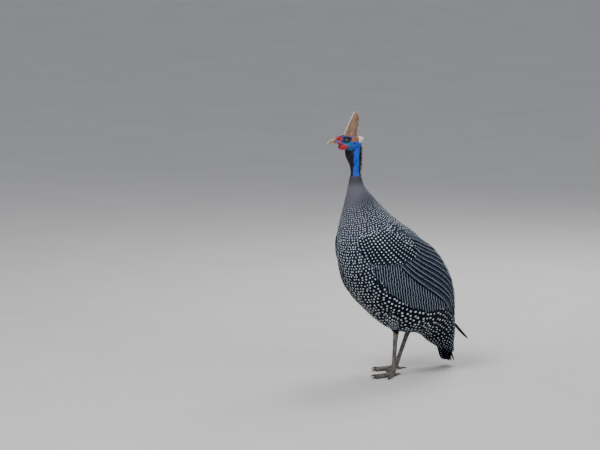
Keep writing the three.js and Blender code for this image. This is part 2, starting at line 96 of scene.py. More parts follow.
def ring_grid(end, rows, sides):
    """Places 0 to end along a limb and angles round it."""
    return np.linspace(0, end, rows)[:, None], np.linspace(0, TURN, sides, endpoint=False)[None, :]


# The trunk's surface


def spline(table, n):
    """Catmull-Rom through the rows of a table at the row numbers n."""
    n = np.clip(np.asarray(n, float), 0, len(table) - 1)
    i = np.minimum(n.astype(int), len(table) - 2)
    t = (n - i)[..., None]
    rows = np.vstack([2 * table[0] - table[1], table, 2 * table[-1] - table[-2]])
    a, b, c, d = rows[i], rows[i + 1], rows[i + 2], rows[i + 3]
    return b + 0.5 * t * (c - a + t * (2 * a - 5 * b + 4 * c - d + t * (3 * (b - c) + d - a)))


def trunk_point(n, angle, lift=0.0):
    """Points on the trunk: angle is 0 on the back and pi/2 on the bird's left, and lift is outwards."""
    n, angle, lift = np.broadcast_arrays(*[np.asarray(v, float) for v in (n, angle, lift)])
    y, z, side, back_depth, front_depth, share = np.moveaxis(spline(TRUNK, n), -1, 0)
    way = unit(spline(TRUNK[:, :2], n + 0.05) - spline(TRUNK[:, :2], n - 0.05))
    turn = HEAD_TURN * share
    left = stacked(np.cos(turn), np.sin(turn), 0.0)
    back = unit(np.cross(left, stacked(0.0, way[..., 0], way[..., 1])))
    depth = np.where(np.cos(angle) > 0, back_depth, front_depth)
    out = left * ((side + lift) * np.sin(angle))[..., None]
    return stacked(0.0, y, z) + SHIFT + out + back * ((depth + lift) * np.cos(angle))[..., None]


def trunk_scale(n, angle):
    """How many millimetres one section and one radian are at a place on the trunk."""
    step_n, step_angle, least = 0.1, 0.05, 6
    along = trunk_point(n + step_n, angle) - trunk_point(n - step_n, angle)
    across = trunk_point(n, angle + step_angle) - trunk_point(n, angle - step_angle)
    per_n = np.linalg.norm(along, axis=-1) / (2 * step_n)
    per_angle = np.linalg.norm(across, axis=-1) / (2 * step_angle)
    return np.maximum(per_n, least), np.maximum(per_angle, least)


# Materials


class Nodes:
    """A short way to build a material's node tree."""

    def __init__(self, name):
        self.material = bpy.data.materials.new(name)
        self.material.use_nodes = True
        self.tree = self.material.node_tree
        self.shader = self.tree.nodes["Principled BSDF"]

    def put(self, socket, value):
        if isinstance(value, bpy.types.NodeSocket):
            self.tree.links.new(value, socket)
        elif value is not None:
            if socket.type == "RGBA" and len(value) == 3:
                value = (*value, 1)
            socket.default_value = value

    def node(self, kind, inputs=(), out=0, **settings):
        """One output of a new node. inputs goes by the sockets' numbers or names."""
        made = self.tree.nodes.new(kind)
        for key, value in settings.items():
            setattr(made, key, value)
        for key, value in dict(inputs).items():
            self.put(made.inputs[key], value)
        return made.outputs[out]

    def math(self, operation, a, b=None):
        return self.node("ShaderNodeMath", {0: a, 1: b}, operation=operation)

    def plus(self, a, b):
        return self.math("ADD", a, b)

    def minus(self, a, b):
        return self.math("SUBTRACT", a, b)

    def times(self, a, b):
        return self.math("MULTIPLY", a, b)

    def mix(self, factor, a, b):
        return self.node("ShaderNodeMix", {0: factor, 6: a, 7: b}, 2, data_type="RGBA")

    def step(self, value, low, high):
        return self.node("ShaderNodeMapRange", {0: value, 1: low, 2: high}, interpolation_type="SMOOTHSTEP")

    def attribute(self, name):
        return self.node("ShaderNodeAttribute", out=2, attribute_name=name)

    def place(self):
        return self.node("ShaderNodeTexCoord", out=3)

    def stretched(self, vector, x, y, z):
        return self.node("ShaderNodeMapping", {"Vector": vector, "Scale": (x, y, z)})

    def noise(self, vector, scale, detail=2.0, rough=0.5):
        inputs = {"Vector": vector, "Scale": scale, "Detail": detail, "Roughness": rough}
        return self.node("ShaderNodeTexNoise", inputs)

    def mottled(self, scale, dark, light):
        return self.mix(self.noise(self.place(), scale, 3.0), dark, light)

    def cells(self, scale, feature="F1", randomness=1.0):
        """The distance from the middle of the nearest cell, or from its edge."""
        inputs = {"Vector": self.place(), "Scale": scale, "Randomness": randomness}
        return self.node("ShaderNodeTexVoronoi", inputs, "Distance", feature=feature)

    def bump(self, height, strength, distance):
        inputs = {"Height": height, "Strength": strength, "Distance": distance}
        self.put(self.shader.inputs["Normal"], self.node("ShaderNodeBump", inputs))

    def finish(self, colour, roughness, **fixed):
        self.put(self.shader.inputs["Base Color"], colour)
        self.put(self.shader.inputs["Roughness"], roughness)
        for key, value in fixed.items():
            self.shader.inputs[key.replace("_", " ")].default_value = value
        return self.material


BAR_PITCH = 4.5  # mm from bar to bar
GROUND, SPECKLE = (0.001, 0.0035, 0.0095), (0.08, 0.115, 0.18)
SPOT_RIM = (0.0004, 0.0022, 0.006)
BAR = (0.25, 0.3, 0.36)
COLLAR_DARK, COLLAR_LIGHT = (0.05, 0.05, 0.07), (0.2, 0.19, 0.235)
SPOT_DARK, SPOT_LIGHT = (0.45, 0.52, 0.6), (0.76, 0.82, 0.88)
SHADED = (0.002, 0.003, 0.005)


def feather_marks(**given):
    """The marks that the feather material reads, 0 where none is given.

    dot is a spot's radius in mm, pitch the distance between spots along a feather, and column their distance
    from the shaft. bars is 1 on barred feathers, and stroke is then the place across the bars, in mm. grey is
    how pale the ground is, lilac_and_light the share of the collar's colour, which on the upper breast is
    partly painted light, and shade how dark the feather lies.
    """
    return dict.fromkeys(("dot", "pitch", "column", "bars", "grey", "lilac_and_light", "shade"), 0.0) | given


def feather_material():
    """Feathers with their own spots. The mesh's UV map Web holds millimetres across and from the tip."""
    m = Nodes("feathers")
    web = m.node("ShaderNodeUVMap", uv_map="Web")
    split = m.tree.nodes.new("ShaderNodeSeparateXYZ")
    m.put(split.inputs[0], web)
    across, down = split.outputs[0], split.outputs[1]
    dot, pitch, column = m.attribute("dot"), m.attribute("pitch"), m.attribute("column")
    # Fine pale lines across the web, which end before a dark edge
    fine = m.noise(m.stretched(web, 0.3, 1.5, 1), 1.0, 3.0, 0.65)
    inside = m.minus(1.0, m.step(m.attribute("edge"), 0.62, 0.86))
    speckle = m.times(m.step(fine, 0.42, 0.64), inside)
    ground = m.mix(m.times(speckle, m.attribute("grey")), GROUND, SPECKLE)
    # Spots in rows each side of the shaft, or one at the tip where they would meet on the shaft
    side = m.minus(m.math("ABSOLUTE", across), column)
    row = m.minus(m.math("MODULO", down, pitch), m.times(pitch, 0.5))
    away = m.math("SQRT", m.plus(m.times(side, side), m.times(row, row)))
    ragged = m.times(m.noise(web, 1.3, 1.0), 0.5)
    reach = m.minus(m.plus(away, ragged), 0.25)
    share = m.math("DIVIDE", reach, m.math("MAXIMUM", dot, 0.01))
    behind_first = m.times(m.math("LESS_THAN", column, 0.5), m.math("GREATER_THAN", down, pitch))
    share = m.plus(share, m.times(behind_first, 9.0))
    ground = m.mix(m.step(share, 1.1, 2.0), SPOT_RIM, ground)
    spot = m.times(m.minus(1.0, m.step(share, 0.8, 1.15)), m.step(dot, 0.05, 0.3))
    # Narrow wavy bars that run on from feather to feather
    wobble = m.times(m.noise(m.stretched(web, 0.16, 0.16, 1), 1.0, 1.0), 2.6)
    wave = m.math("SINE", m.times(m.plus(m.attribute("stroke"), wobble), TURN / BAR_PITCH))
    bars = m.times(m.step(wave, 0.4, 0.95), m.attribute("bars"))
    bars = m.times(bars, m.step(m.noise(web, 0.9, 2.0), 0.26, 0.42))
    colour = m.mix(bars, ground, BAR)
    # The collar's plain lilac grey, which on the upper breast is partly painted light on the lit front
    collar = m.mix(m.noise(m.stretched(web, 2.2, 0.3, 1), 1.0, 2.0), COLLAR_DARK, COLLAR_LIGHT)
    colour = m.mix(m.attribute("lilac_and_light"), colour, collar)
    colour = m.mix(spot, colour, m.mix(m.noise(m.place(), 60.0, 2.0), SPOT_DARK, SPOT_LIGHT))
    colour = m.mix(m.attribute("shade"), colour, SHADED)
    barbs = {"Vector": m.stretched(web, 1.0, 0.9, 1), "Scale": 2.2, "Distortion": 0.6, "Detail": 1.0}
    m.bump(m.node("ShaderNodeTexWave", barbs), 0.25, 0.0004)
    return m.finish(colour, 0.66, Specular_IOR_Level=0.08)


# Meshes


def add_mesh(name, points, faces, material, slot, replaced=(), **marks):
    """A smooth mesh as a piece of the part, on its one body. A mark has one value a point."""
    mesh = bpy.data.meshes.new(name)
    mesh.from_pydata(mm(points).reshape(-1, 3).tolist(), [], faces, shade_flat=False)
    mesh.validate()
    for key, values in marks.items():
        layer = mesh.attributes.new(key, "FLOAT", "POINT")
        layer.data.foreach_set("value", np.ravel(values).astype(np.float32))
    piece = bpy.data.objects.new(name, mesh)
    bpy.context.scene.collection.objects.link(piece)
    mesh.materials.append(material)
    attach(piece, "root")
    if replaced:
        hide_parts(*replaced)
    return mesh


def add_feathers(name, points, web, bake, material, marks, replaced=()):
    """Many equal grids as one piece. points is (count, rows, columns, 3), and web and bake are its UV maps.

    A mark has one value for all, one a feather, or one a point.
    """
    shape = points.shape[:3]
    index = np.arange(math.prod(shape)).reshape(shape)
    corners = (index[:, :-1, :-1], index[:, :-1, 1:], index[:, 1:, 1:], index[:, 1:, :-1])
    quads = np.stack(corners, -1).reshape(-1, 4)
    edge = np.abs(np.linspace(-1, 1, shape[2]))  # 0 at the shaft and 1 at the web's edge
    spread = {"edge": np.broadcast_to(edge, shape)}
    for key, values in marks.items():
        spread[key] = np.broadcast_to(values[:, None, None] if np.ndim(values) == 1 else values, shape)
    mesh = add_mesh(name, points, quads.tolist(), material, "plumage", replaced, **spread)
    for label, values in (("Web", web), ("OFBake", bake)):
        each = np.broadcast_to(values, (*shape, 2)).reshape(-1, 2)
        layer = mesh.uv_layers.new(name=label)
        layer.uv.foreach_set("vector", each[quads.ravel()].ravel().astype(np.float32))


PATCH = 0.003  # the side of a small feather's patch of the bake map
STRIP = 6.0  # the length of a long feather's strip of the bake map, in widths
# Places from root to tip and from edge to edge, of the small feathers and of the long ones
SHORT_DOWN, SHORT_ACROSS = np.array([0.0, 0.22, 0.45, 0.66, 0.83, 0.94, 1.0])[:, None], np.linspace(-1, 1, 5)
LONG_DOWN, LONG_ACROSS = (np.linspace(0, 1, 15) ** 0.85)[:, None], np.linspace(-1, 1, 9)
CUP = 0.12  # how far the web's edges of a small feather bend in


def outline(v, blunt=0.55):
    """Half width along a feather, as a share: a narrow root and a round tip."""
    tip = np.clip((v - blunt) / (1 - blunt), 0, 1)
    return np.minimum(1, 0.45 + 1.5 * v) * np.sqrt(np.clip(1 - tip**2.2, 0.004, 1))


def patch_bake(angle, row, u, v, size=0.98, start=0.01):
    """Where each small feather lies on the bake map: by its angle and its row, from 0 to 1."""
    corner = stacked((angle / TURN) % 1, row) * size + start
    return np.clip(corner + stacked(u * PATCH / 2, v * PATCH), 0, 1)


def strip_bake(web):
    """Where each long feather lies on the bake map: strips side by side at their own proportions."""
    order = np.arange(len(web))
    side = math.ceil(math.sqrt(len(web) * STRIP))
    own = web - web.reshape(len(web), -1, 2).min(1)[:, None, None]
    own = own / own[..., 1].max() * (0.9 * STRIP)
    corner = stacked(order % side, order // side * STRIP)[:, None, None]
    return (own + corner + 0.1) / (side + 1)


def small_feathers(n, angle, length, width, rise, veer):
    """Feathers along the trunk from roots at (n, angle), as points and both UV maps.

    rise holds the heights of root, middle and tip, and veer turns a feather from straight back.
    """
    per_feather = np.broadcast_arrays(n, angle, length, width, veer, *rise)
    n, angle, length, width, veer, low, middle, high = (values[:, None, None] for values in per_feather)
    per_n, per_angle = trunk_scale(n, angle)
    v, u = SHORT_DOWN, SHORT_ACROSS
    half = width / 2 * outline(v)
    sway = DRAW.normal(0, 0.05, n.shape) * v**2 * length / per_angle
    at_n = n + v * (length * np.cos(veer) / per_n) - u * half * np.sin(veer) / per_n
    at_angle = angle + v * (length * np.sin(veer) / per_angle) + u * half * np.cos(veer) / per_angle + sway
    height = low * (1 - v) ** 2 + 2 * middle * v * (1 - v) + high * v**2
    height = height + DRAW.normal(0, 0.12, n.shape) - CUP * u**2 * half
    points = trunk_point(at_n, at_angle, height)
    return points, stacked(u * half, (1 - v) * length), patch_bake(angle, n / LAST, u, v)


def long_feathers(root, tip, width, rise, tilt):
    """Flight feathers from root to tip, each given as sections and angles, as points and the UV map Web.

    rise holds the heights of root and tip, and tilt is in mm for each radian.
    """
    count = (len(root), 1, 1)
    v, u = LONG_DOWN, LONG_ACROSS
    half = width / 2 * outline(v, 0.7)
    n = root[:, 0, None, None] + v * (tip - root)[:, 0, None, None]
    angle = root[:, 1, None, None] + v * (tip - root)[:, 1, None, None]
    per_angle = trunk_scale(n, angle)[1]
    sway = (DRAW.normal(0, 1.2, count) * v**2 + 0.5 * np.sin(7 * v) * v) / per_angle
    turn = u * half / per_angle
    low, high = rise
    height = low + (high[:, None, None] - low) * np.minimum(1, v / 0.36) + tilt * turn - 0.05 * u**2 * half
    shaft = 0.25 * np.exp(-((u / 0.08) ** 2)) * (1 - v)
    points = trunk_point(n, angle + turn + sway, height + DRAW.normal(0, 0.1, count) + shaft)
    parts = np.linalg.norm(np.diff(points[:, :, len(u) // 2], axis=1), axis=-1)
    down = np.concatenate([np.cumsum(parts[:, ::-1], axis=1)[:, ::-1], np.zeros((len(root), 1))], 1)
    return points, stacked(u * half, down[..., None])


# The wing's place, and the body's skin just under the feathers

WING_MIDDLE, WING_SECTION = 100, 7.5  # the middle line's degrees from the back at this section
WING_SLOPE = 6.3  # the degrees that it climbs with each section
FLANK_SWELL, FLANK_SPREAD, FLANK_WIDTH = 4.6, 52, 15  # mm, and degrees below the wing's middle line


def from_back(angle):
    """Degrees from the middle of the back, the same on both sides."""
    return np.degrees(np.abs((angle + math.pi) % TURN - math.pi))


def wing_line(n):
    """The wing's middle line, in degrees from the middle of the back."""
    return WING_MIDDLE - WING_SLOPE * (n - WING_SECTION)


def wing_angle(n, spread):
    """The angle of a place that is spread degrees below the wing's middle line."""
    return np.radians(wing_line(n) + spread)


def flank_swell(n, angle):
    """The flank feathers puff out over the wing's lower edge."""
    spread = from_back(angle) - wing_line(n)
    bulge = FLANK_SWELL * np.exp(-(((spread - FLANK_SPREAD) / FLANK_WIDTH) ** 2))
    return bulge * smooth(7.2, 9, n) * (1 - smooth(13.2, 15, n))


def body_skin():
    start, end = 2.7, 17.1
    n, angle = ring_grid(end - start, 120, 96)
    n = n + start
    depth = 2.6 + 4 * smooth(15.8, end, n)
    points, faces = loft(trunk_point(n, angle, flank_swell(n, angle) - depth))
    # Angles on the trunk run the other way round than on a limb, so the faces are turned over
    faces = [face[:1] + face[:0:-1] for face in faces]
    m = Nodes("down")
    spot = m.minus(1.0, m.step(m.cells(105, randomness=0.35), 0.2, 0.3))
    ground = m.mottled(500.0, (0.01, 0.011, 0.015), (0.1, 0.105, 0.13))
    material = m.finish(m.mix(spot, ground, (0.75, 0.77, 0.8)), 0.8)
    add_mesh("body_skin", points, faces, material, "plumage", ["torso", "neck_feathered", "tail"])


# The small feathers. Each patch is bounded by sections and degrees, and its gap and dot are mm by section

PATCHES = (
    {
        "from": 2.9, "to": 6.5, "angles": (0, 360), "offset": 0,
        "gap": ((2.9, 2.6), (4, 3.1), (5, 3.9), (6.5, 5.2)),
        "dot": ((4.2, 0), (4.7, 0.5), (5.3, 0.8), (6.5, 1.1)),
    },
    {
        "from": 6.5, "to": 17.0, "angles": (72, 288), "offset": 0.25,
        "gap": ((6.5, 5.2), (8, 6.5), (9.5, 8.2), (11, 9.8), (12.5, 10.6), (14, 9.8), (15.5, 8), (17.2, 5.4)),
        "dot": ((6.5, 1.1), (8, 1.35), (9.5, 1.75), (11, 2.1), (12.5, 2.2), (13.5, 1.85), (15, 1.3),
                (17, 0.8)),
    },
    {
        "from": 6.5, "to": 17.0, "angles": (-72, 72), "offset": 0.25,
        "gap": ((6.5, 5.1), (9, 5.0), (12, 5.7), (15.5, 6.2), (17.2, 5.2)),
        "dot": ((6.5, 1.1), (7.5, 0.92), (9, 0.85), (13, 0.98), (15, 1.1), (17, 0.8)),
    },
)
ROW_GAP = 0.87  # from row to row, as a share of the gap in a row
SPOT_GAP = 0.98  # the pitch of the spots on a small feather, as a share of the gap
UNDER_WING, UNDER_MIDDLE, UNDER_REACH = (7.4, 13), -4, 34  # sections and degrees where no small feather shows
TAIL_SINK = 4.6  # mm that the small feathers sink where the tail feathers begin


def rows_of(patch):
    """Roots in offset rows over a patch, with each one's local gap."""
    low, high = np.radians(patch["angles"])
    across = np.linspace(low, high, 60)
    places, n, row = [], patch["from"], 0
    while n < patch["to"]:
        gap = fade(n, patch["gap"])
        arc = np.mean(trunk_scale(n, across)[1]) * (high - low)
        count = max(8, round(arc / gap))
        angle = low + (np.arange(count) + 0.5 * (row % 2) + patch["offset"]) * (high - low) / count
        places.append(stacked(n, angle, gap))
        n += ROW_GAP * gap / trunk_scale(n, (low + high) / 2)[0]
        row += 1
    placed = np.vstack(places)
    placed[:, 0] += DRAW.normal(0, 0.07, len(placed)) * placed[:, 2] / 30
    placed[:, 1] += DRAW.normal(0, 0.06, len(placed)) * placed[:, 2] / 60
    return placed


def coat(material):
    """The small feathers of neck, body and rump, shared out over two pieces."""
    built = []
    for patch in PATCHES:
        n, angle, gap = rows_of(patch).T
        first, last = UNDER_WING
        beside = np.abs(from_back(angle) - wing_line(n) - UNDER_MIDDLE) < UNDER_REACH
        shown = ~((n > first) & (n < last) & beside)
        n, angle, gap = n[shown], angle[shown], gap[shown]
        turned = from_back(angle)
        collar = 1 - smooth(3.4, 4.6, n)
        length, width = gap * 2.5 + 4 * collar, gap * (1.6 - 0.25 * collar)
        swell = flank_swell(n, angle) - TAIL_SINK * smooth(15.3, 17.0, n)
        rise = (-2.2 + 1.6 * collar + swell, 0.5 + 0.2 * collar + swell, 0.65 + 0.2 * collar + swell)
        # On the back the feathers follow the wing's slope
        drift = -math.radians(WING_SLOPE) * smooth(7, 9, n) * (1 - smooth(80, 130, turned))
        per_n, per_angle = trunk_scale(n, angle)
        veer = np.arctan2(np.sign(np.sin(angle)) * drift * per_angle, per_n) + DRAW.normal(0, 0.05, len(n))
        points, web, bake = small_feathers(n, angle, length, width, rise, veer)
        flank, front = smooth(60, 110, turned), smooth(100, 170, turned)
        pale = 0.95 - 0.35 * smooth(6, 8, n) - 0.6 * smooth(6.5, 10.5, n) * flank
        # The upper breast takes the collar's lilac grey too, more towards the front: partly its own pale
        # lilac and partly painted light on the lit front
        breast = 0.42 * (1 - smooth(4.9, 7.0, n)) * (0.5 + 0.5 * front)
        built.append({
            "points": points,
            "web": web,
            "bake": bake,
            "dot": fade(n, patch["dot"]) * (1 + DRAW.normal(0, 0.07, len(n))),
            "pitch": gap * SPOT_GAP,
            "grey": np.clip(pale, 0, 1) + DRAW.normal(0, 0.05, len(n)),
            "lilac_and_light": np.maximum(breast, 1 - smooth(3.7, 5.4, n + 0.5 * (0.5 - front))),
            "shade": 0.55 * (1 - smooth(3.0, 3.5, n)),
        })
    whole = {key: np.concatenate([each[key] for each in built]) for key in built[0]}
    half = len(whole["dot"]) // 2
    for number, part in ((1, slice(None, half)), (2, slice(half, None))):
        marks = {key: values[part] for key, values in whole.items()}
        points, web, bake = (marks.pop(key) for key in ("points", "web", "bake"))
        add_feathers(f"coat_{number}", points, web, bake, material, feather_marks(**marks))


# The wings and the tail

# root_spread and tip_spread are the first and last feather's degrees below the wing's middle line. root and
# tips are sections, low and high the heights of root and tip in mm, and sunk how much lower the first tip is
TIER_KEYS = "count root_spread tip_spread root tips width low high sunk dot column pitch bars grey".split()
WING_TIERS = (
    (5, (26, 6), (24, 4), 10.6, (14.6, 15.0, 15.2), 17, -0.3, 1.3, 0, 0.7, 5.0, 5.0, 0, 0.15),
    (9, (38, -4), (42, 2), 7.6, (12.6, 14.0, 14.7), 23, -0.3, 3.0, 0, 0, 6.0, 4.6, 1, 0.15),
    (10, (-4, -42), (24, -52), 7.0, (14.6, 13.9, 11.8), 23, -0.3, 3.9, 0, 0.66, 7.2, 3.2, 0, 1),
    (12, (33, -26), (36, -28), 6.3, (8.0, 8.5, 9.2, 9.8), 17, -0.8, 3.9, 3.1, 1.3, 4.1, 6.0, 0, 0.4),
)
WING_TILT = 11.0  # mm for each radian
# The direction across the wing's bars, on the left wing, and where their count starts, in mm
STROKE, STROKE_START = np.array([0.643, 0.766, 0.12]), 200


def wing(side, name, material):
    for number, row in enumerate(WING_TIERS, 1):
        tier = dict(zip(TIER_KEYS, row))
        count = tier["count"]
        share = np.linspace(0, 1, count)
        tips = np.interp(share, np.linspace(0, 1, len(tier["tips"])), tier["tips"])
        tips = tips + DRAW.normal(0, 0.04, count)
        root_angle = wing_angle(tier["root"], np.interp(share, (0, 1), tier["root_spread"]))
        tip_angle = wing_angle(tips, np.interp(share, (0, 1), tier["tip_spread"]))
        root, tip = stacked(tier["root"], side * root_angle), stacked(tips, side * tip_angle)
        rise = (tier["low"], tier["high"] - tier["sunk"] * (1 - smooth(0, 0.6, share)))
        points, web = long_feathers(root, tip, tier["width"], rise, side * WING_TILT)
        marks = feather_marks(
            dot=tier["dot"] * (1 + DRAW.normal(0, 0.05, count)),
            pitch=tier["pitch"] * (1 + DRAW.normal(0, 0.045, count)),
            column=tier["column"],
            bars=tier["bars"],
            grey=tier["grey"],
            stroke=points @ (STROKE * [side, 1, 1]) + DRAW.normal(0, 0.35, (count, 1, 1)) + STROKE_START,
        )
        replaced = [f"wing_{name}"] if number == 2 else []
        add_feathers(f"wing_{name}_tier_{number}", points, web, strip_bake(web), material, marks, replaced)
    lesser(side, name, material)


def lesser(side, name, material):
    """The wing's small coverts, in rows from the shoulder over the roots of the long ones."""
    gap = 6.5
    n, spread = [], []
    for i, at in enumerate(np.arange(6.2, 8.35, 0.205)):
        low, high = fade(at, ((6.2, -38), (8.4, -44))), fade(at, ((6.2, 12), (7.2, 28), (8.4, 34)))
        count = round((high - low) * 1.35 / gap)
        n += [at] * count
        spread += list(low + (np.arange(count) + 0.5 * (i % 2)) * (high - low) / count)
    n, spread = np.array(n), np.array(spread)
    over = (n < 6.95) | (spread < -12)
    n = n[over] + DRAW.normal(0, 0.03, over.sum())
    spread = spread[over] + DRAW.normal(0, 0.6, over.sum())
    angle = side * wing_angle(n, spread)
    per_n, per_angle = trunk_scale(n, angle)
    veer = np.arctan2(-side * math.radians(WING_SLOPE) * per_angle, per_n)
    raised = smooth(6.1, 7.2, n) * (1 - smooth(26, 44, np.abs(spread + 4)))
    raised = raised * (1 - 0.7 * smooth(-14, 26, spread))
    rise = (-1.5 + 2.4 * raised, 0.8 + 3.0 * raised, 1.0 + 3.6 * raised)
    points, web, bake = small_feathers(n, angle, gap * 2.7, gap * 1.6, rise, veer)
    dot = fade(n, ((6.2, 1.1), (8.4, 1.25))) * (1 + DRAW.normal(0, 0.06, len(n)))
    marks = feather_marks(dot=dot, pitch=gap * SPOT_GAP, column=0.52 * (n < 6.45), grey=0.75)
    add_feathers(f"wing_{name}_lesser", points, web, bake, material, marks)


def tail(material):
    """The tail feathers lie in pairs like nested roofs, the middle pair on top."""
    pairs, width, root, overshoot = 7, 17.0, 15.9, 1.09
    start, end = (np.array([0.0, *spline(TRUNK, n)[:2]]) + SHIFT for n in (root, LAST))
    reach, way = overshoot * np.linalg.norm(end - start), unit(end - start)
    lift = np.cross(LEFT, way)
    v, u = LONG_DOWN[..., None], LONG_ACROSS[:, None]
    shape = outline(v, 0.75)
    points, web = [], []
    for pair in range(pairs):
        for side, _ in SIDES:
            slope = math.radians(28 + 6 * pair)
            down = side * LEFT * math.cos(slope) - lift * math.sin(slope)
            up = side * LEFT * math.sin(slope) + lift * math.cos(slope)
            length = reach - 1.6 * pair + DRAW.normal(0, 0.8)
            out = 0.4 + width * (1 + u * shape) / 2
            bend = DRAW.normal(0, 0.7) * v**2
            grid = start + way * length * v + lift * (8.5 * (1 - 0.75 * v) - 0.95 * pair)
            points.append(grid + down * (out + bend) - up * (0.02 * width * u**2))
            web.append(np.concatenate(np.broadcast_arrays(u * width / 2 * shape, length * (1 - v)), -1))
    points, web = np.array(points), np.array(web)
    marks = feather_marks(dot=0.85, pitch=4.6, column=4.3, grey=0.3, shade=0.15)
    add_feathers("tail_feathers", points, web, strip_bake(web), material, marks)


STRAY = {"from": (22, 130, 87), "to": (20, 172, 49), "width": 12, "roll": 1.05}


def stray(material):
    """The one feather that sticks out at the left of the rump."""
    start, end = np.array(STRAY["from"]) + SHIFT, np.array(STRAY["to"]) + SHIFT
    length, way = np.linalg.norm(end - start), unit(end - start)
    flat = unit(LEFT - way * way[0])
    left = flat * math.cos(STRAY["roll"]) + np.cross(way, flat) * math.sin(STRAY["roll"])
    up = np.cross(way, left)
    v = (np.linspace(0, 1, 17) ** 0.9)[:, None, None]
    u = LONG_ACROSS[:, None]
    half = STRAY["width"] / 2 * outline(v, 0.6) * (1 - 0.5 * v)
    grid = start + way * length * v + left * u * half + up * (0.7 - 0.5 * u**2 + 1.2 * np.sin(3 * v))
    web = np.concatenate(np.broadcast_arrays(u * half, length * (1 - v)), -1)[None]
    marks = feather_marks(pitch=5.0, column=4.0, grey=0.2, shade=0.3)
    add_feathers("stray_feather", grid[None], web, strip_bake(web), material, marks)


# The head, in its own frame: x is its left, -y forward and z up

SKULL = sections(  # forward, up, side, top, base
    [-10.5, 6, 3, 4, 5], [-7, 6, 8, 9, 10], [0, 6, 11.3, 13.2, 13], [8, 6.5, 12.3, 14.2, 13.5],
    [16, 7, 11.8, 14, 13], [23, 7.3, 10, 12.4, 11.2], [29, 8.2, 7.6, 9.8, 8.2],
    [34, 9.4, 5.9, 6.9, 5.6], [36, 9.6, 5.3, 6, 5],
)
CASQUE = sections(  # forward, up, half length, half thickness
    [10.8, 14, 12.8, 8.4], [10.8, 16, 12.6, 8.2], [9.6, 22, 11.6, 7.2], [8, 30, 10.3, 6.3],
    [4.6, 40, 9.5, 5.4], [1.2, 50, 8.1, 4.6], [0.2, 57.5, 5.6, 3.6], [0.6, 62, 2.6, 2],
)
UPPER = sections(  # forward, top, edge, side
    [34, 15.8, 8.1, 5.4], [36.4, 15.4, 8.1, 5.2], [41, 14.2, 7.5, 4.3], [46, 11.8, 6.3, 3.2],
    [50.5, 8.2, 4.4, 1.9], [53.2, 4.6, 3.2, 0.6],
)
LOWER = sections(
    [34, 7.9, 4.8, 5.0], [36.4, 7.7, 4.4, 4.7], [41, 7.1, 3.4, 3.9], [45.5, 6, 3, 2.8],
    [49, 4.5, 3.2, 1.2],
)
EYE = {"forward": 17.4, "up": 10.8, "out": 8.1, "radius": 4.3}
LID = {"wide": 3.9, "tall": 3.35, "thick": 0.95}
MOUTH = sections([36.5, 7.8, 5.3], [33, 7, 6.3], [29, 5.8, 7.9], [24.5, 3.4, 9.4])  # forward, up, out
NECK_BARE_END = 3.9  # the section where the bare skin ends, under the collar
SKIN_VOXEL, SKIN_ROUNDS = 0.55, 5  # mm, and rounds of smoothing


def turned_by(points, turn):
    """Points turned about the upright axis."""
    c, s = np.cos(turn), np.sin(turn)
    x, y, z = np.moveaxis(points, -1, 0)
    return stacked(c * x - s * y, s * x + c * y, z)


def from_head(points):
    """From the head's own frame to the part's."""
    return turned_by(np.asarray(points, float), HEAD_TURN) + HEAD_PLACE


def to_head(points):
    return turned_by(points - HEAD_PLACE, -HEAD_TURN)


def loft(rings):
    """Points and faces of a closed tube through rings of equal length, with a fan on each end."""
    rows, sides = rings.shape[:2]
    points = np.vstack([rings.reshape(-1, 3), rings[0].mean(0), rings[-1].mean(0)])
    faces = []
    for j in range(sides):
        k = (j + 1) % sides
        for i in range(rows - 1):
            faces.append((i * sides + j, i * sides + k, (i + 1) * sides + k, (i + 1) * sides + j))
        faces.append((k, j, rows * sides))
        faces.append(((rows - 1) * sides + j, (rows - 1) * sides + k, rows * sides + 1))
    return points, faces


def ellipsoid(place, size, rows=16, sides=24):
    t = np.linspace(0.02, math.pi - 0.02, rows)[:, None]
    _, a = ring_grid(1, rows, sides)
    ball = stacked(np.sin(t) * np.cos(a), np.sin(t) * np.sin(a), np.cos(t))
    return loft(ball * size + place)


def limb_frame(stops, t):
    """The middle and two cross directions along a smooth line through stops, for t in 0..1."""
    at = np.asarray(t, float) * (len(stops) - 1)
    way = unit(spline(stops, at + 0.02) - spline(stops, at - 0.02))
    left = unit(LEFT - way * way[..., :1])
    return spline(stops, at), left, np.cross(left, way)


def tube(stops, radii, rows, sides, narrow=1.0, relief=0.0):
    """Rings along a limb. relief is added to the radius, and narrow is the width as a share of the depth."""
    t, angle = ring_grid(1, rows, sides)
    middle, left, back = limb_frame(np.asarray(stops, float), t)
    r = spline(np.array(radii, float)[:, None], t * (len(radii) - 1))[..., 0] + relief
    out = left * (r * narrow * np.sin(angle))[..., None] + back * (r * np.cos(angle))[..., None]
    return middle + out


def joined(parts):
    points, faces, start = [], [], 0
    for p, f in parts:
        points.append(p)
        faces += [tuple(start + i for i in face) for face in f]
        start += len(p)
    return np.vstack(points), faces


def remeshed(name, points, faces, voxel, rounds):
    """One closed skin round overlapping solids, as points and faces. voxel is in mm."""
    mesh = bpy.data.meshes.new(name)
    mesh.from_pydata(points.tolist(), [], faces)
    holder = bpy.data.objects.new(name, mesh)
    bpy.context.scene.collection.objects.link(holder)
    wrap = holder.modifiers.new("wrap", "REMESH")
    wrap.mode, wrap.voxel_size, wrap.adaptivity = "VOXEL", voxel, 0
    ease = holder.modifiers.new("ease", "SMOOTH")
    ease.factor, ease.iterations = 0.5, rounds
    made = holder.evaluated_get(bpy.context.evaluated_depsgraph_get()).to_mesh()
    found = np.empty(len(made.vertices) * 3)
    made.vertices.foreach_get("co", found)
    polygons = [tuple(p.vertices) for p in made.polygons]
    bpy.data.objects.remove(holder)
    bpy.data.meshes.remove(mesh)
    return found.reshape(-1, 3), polygons


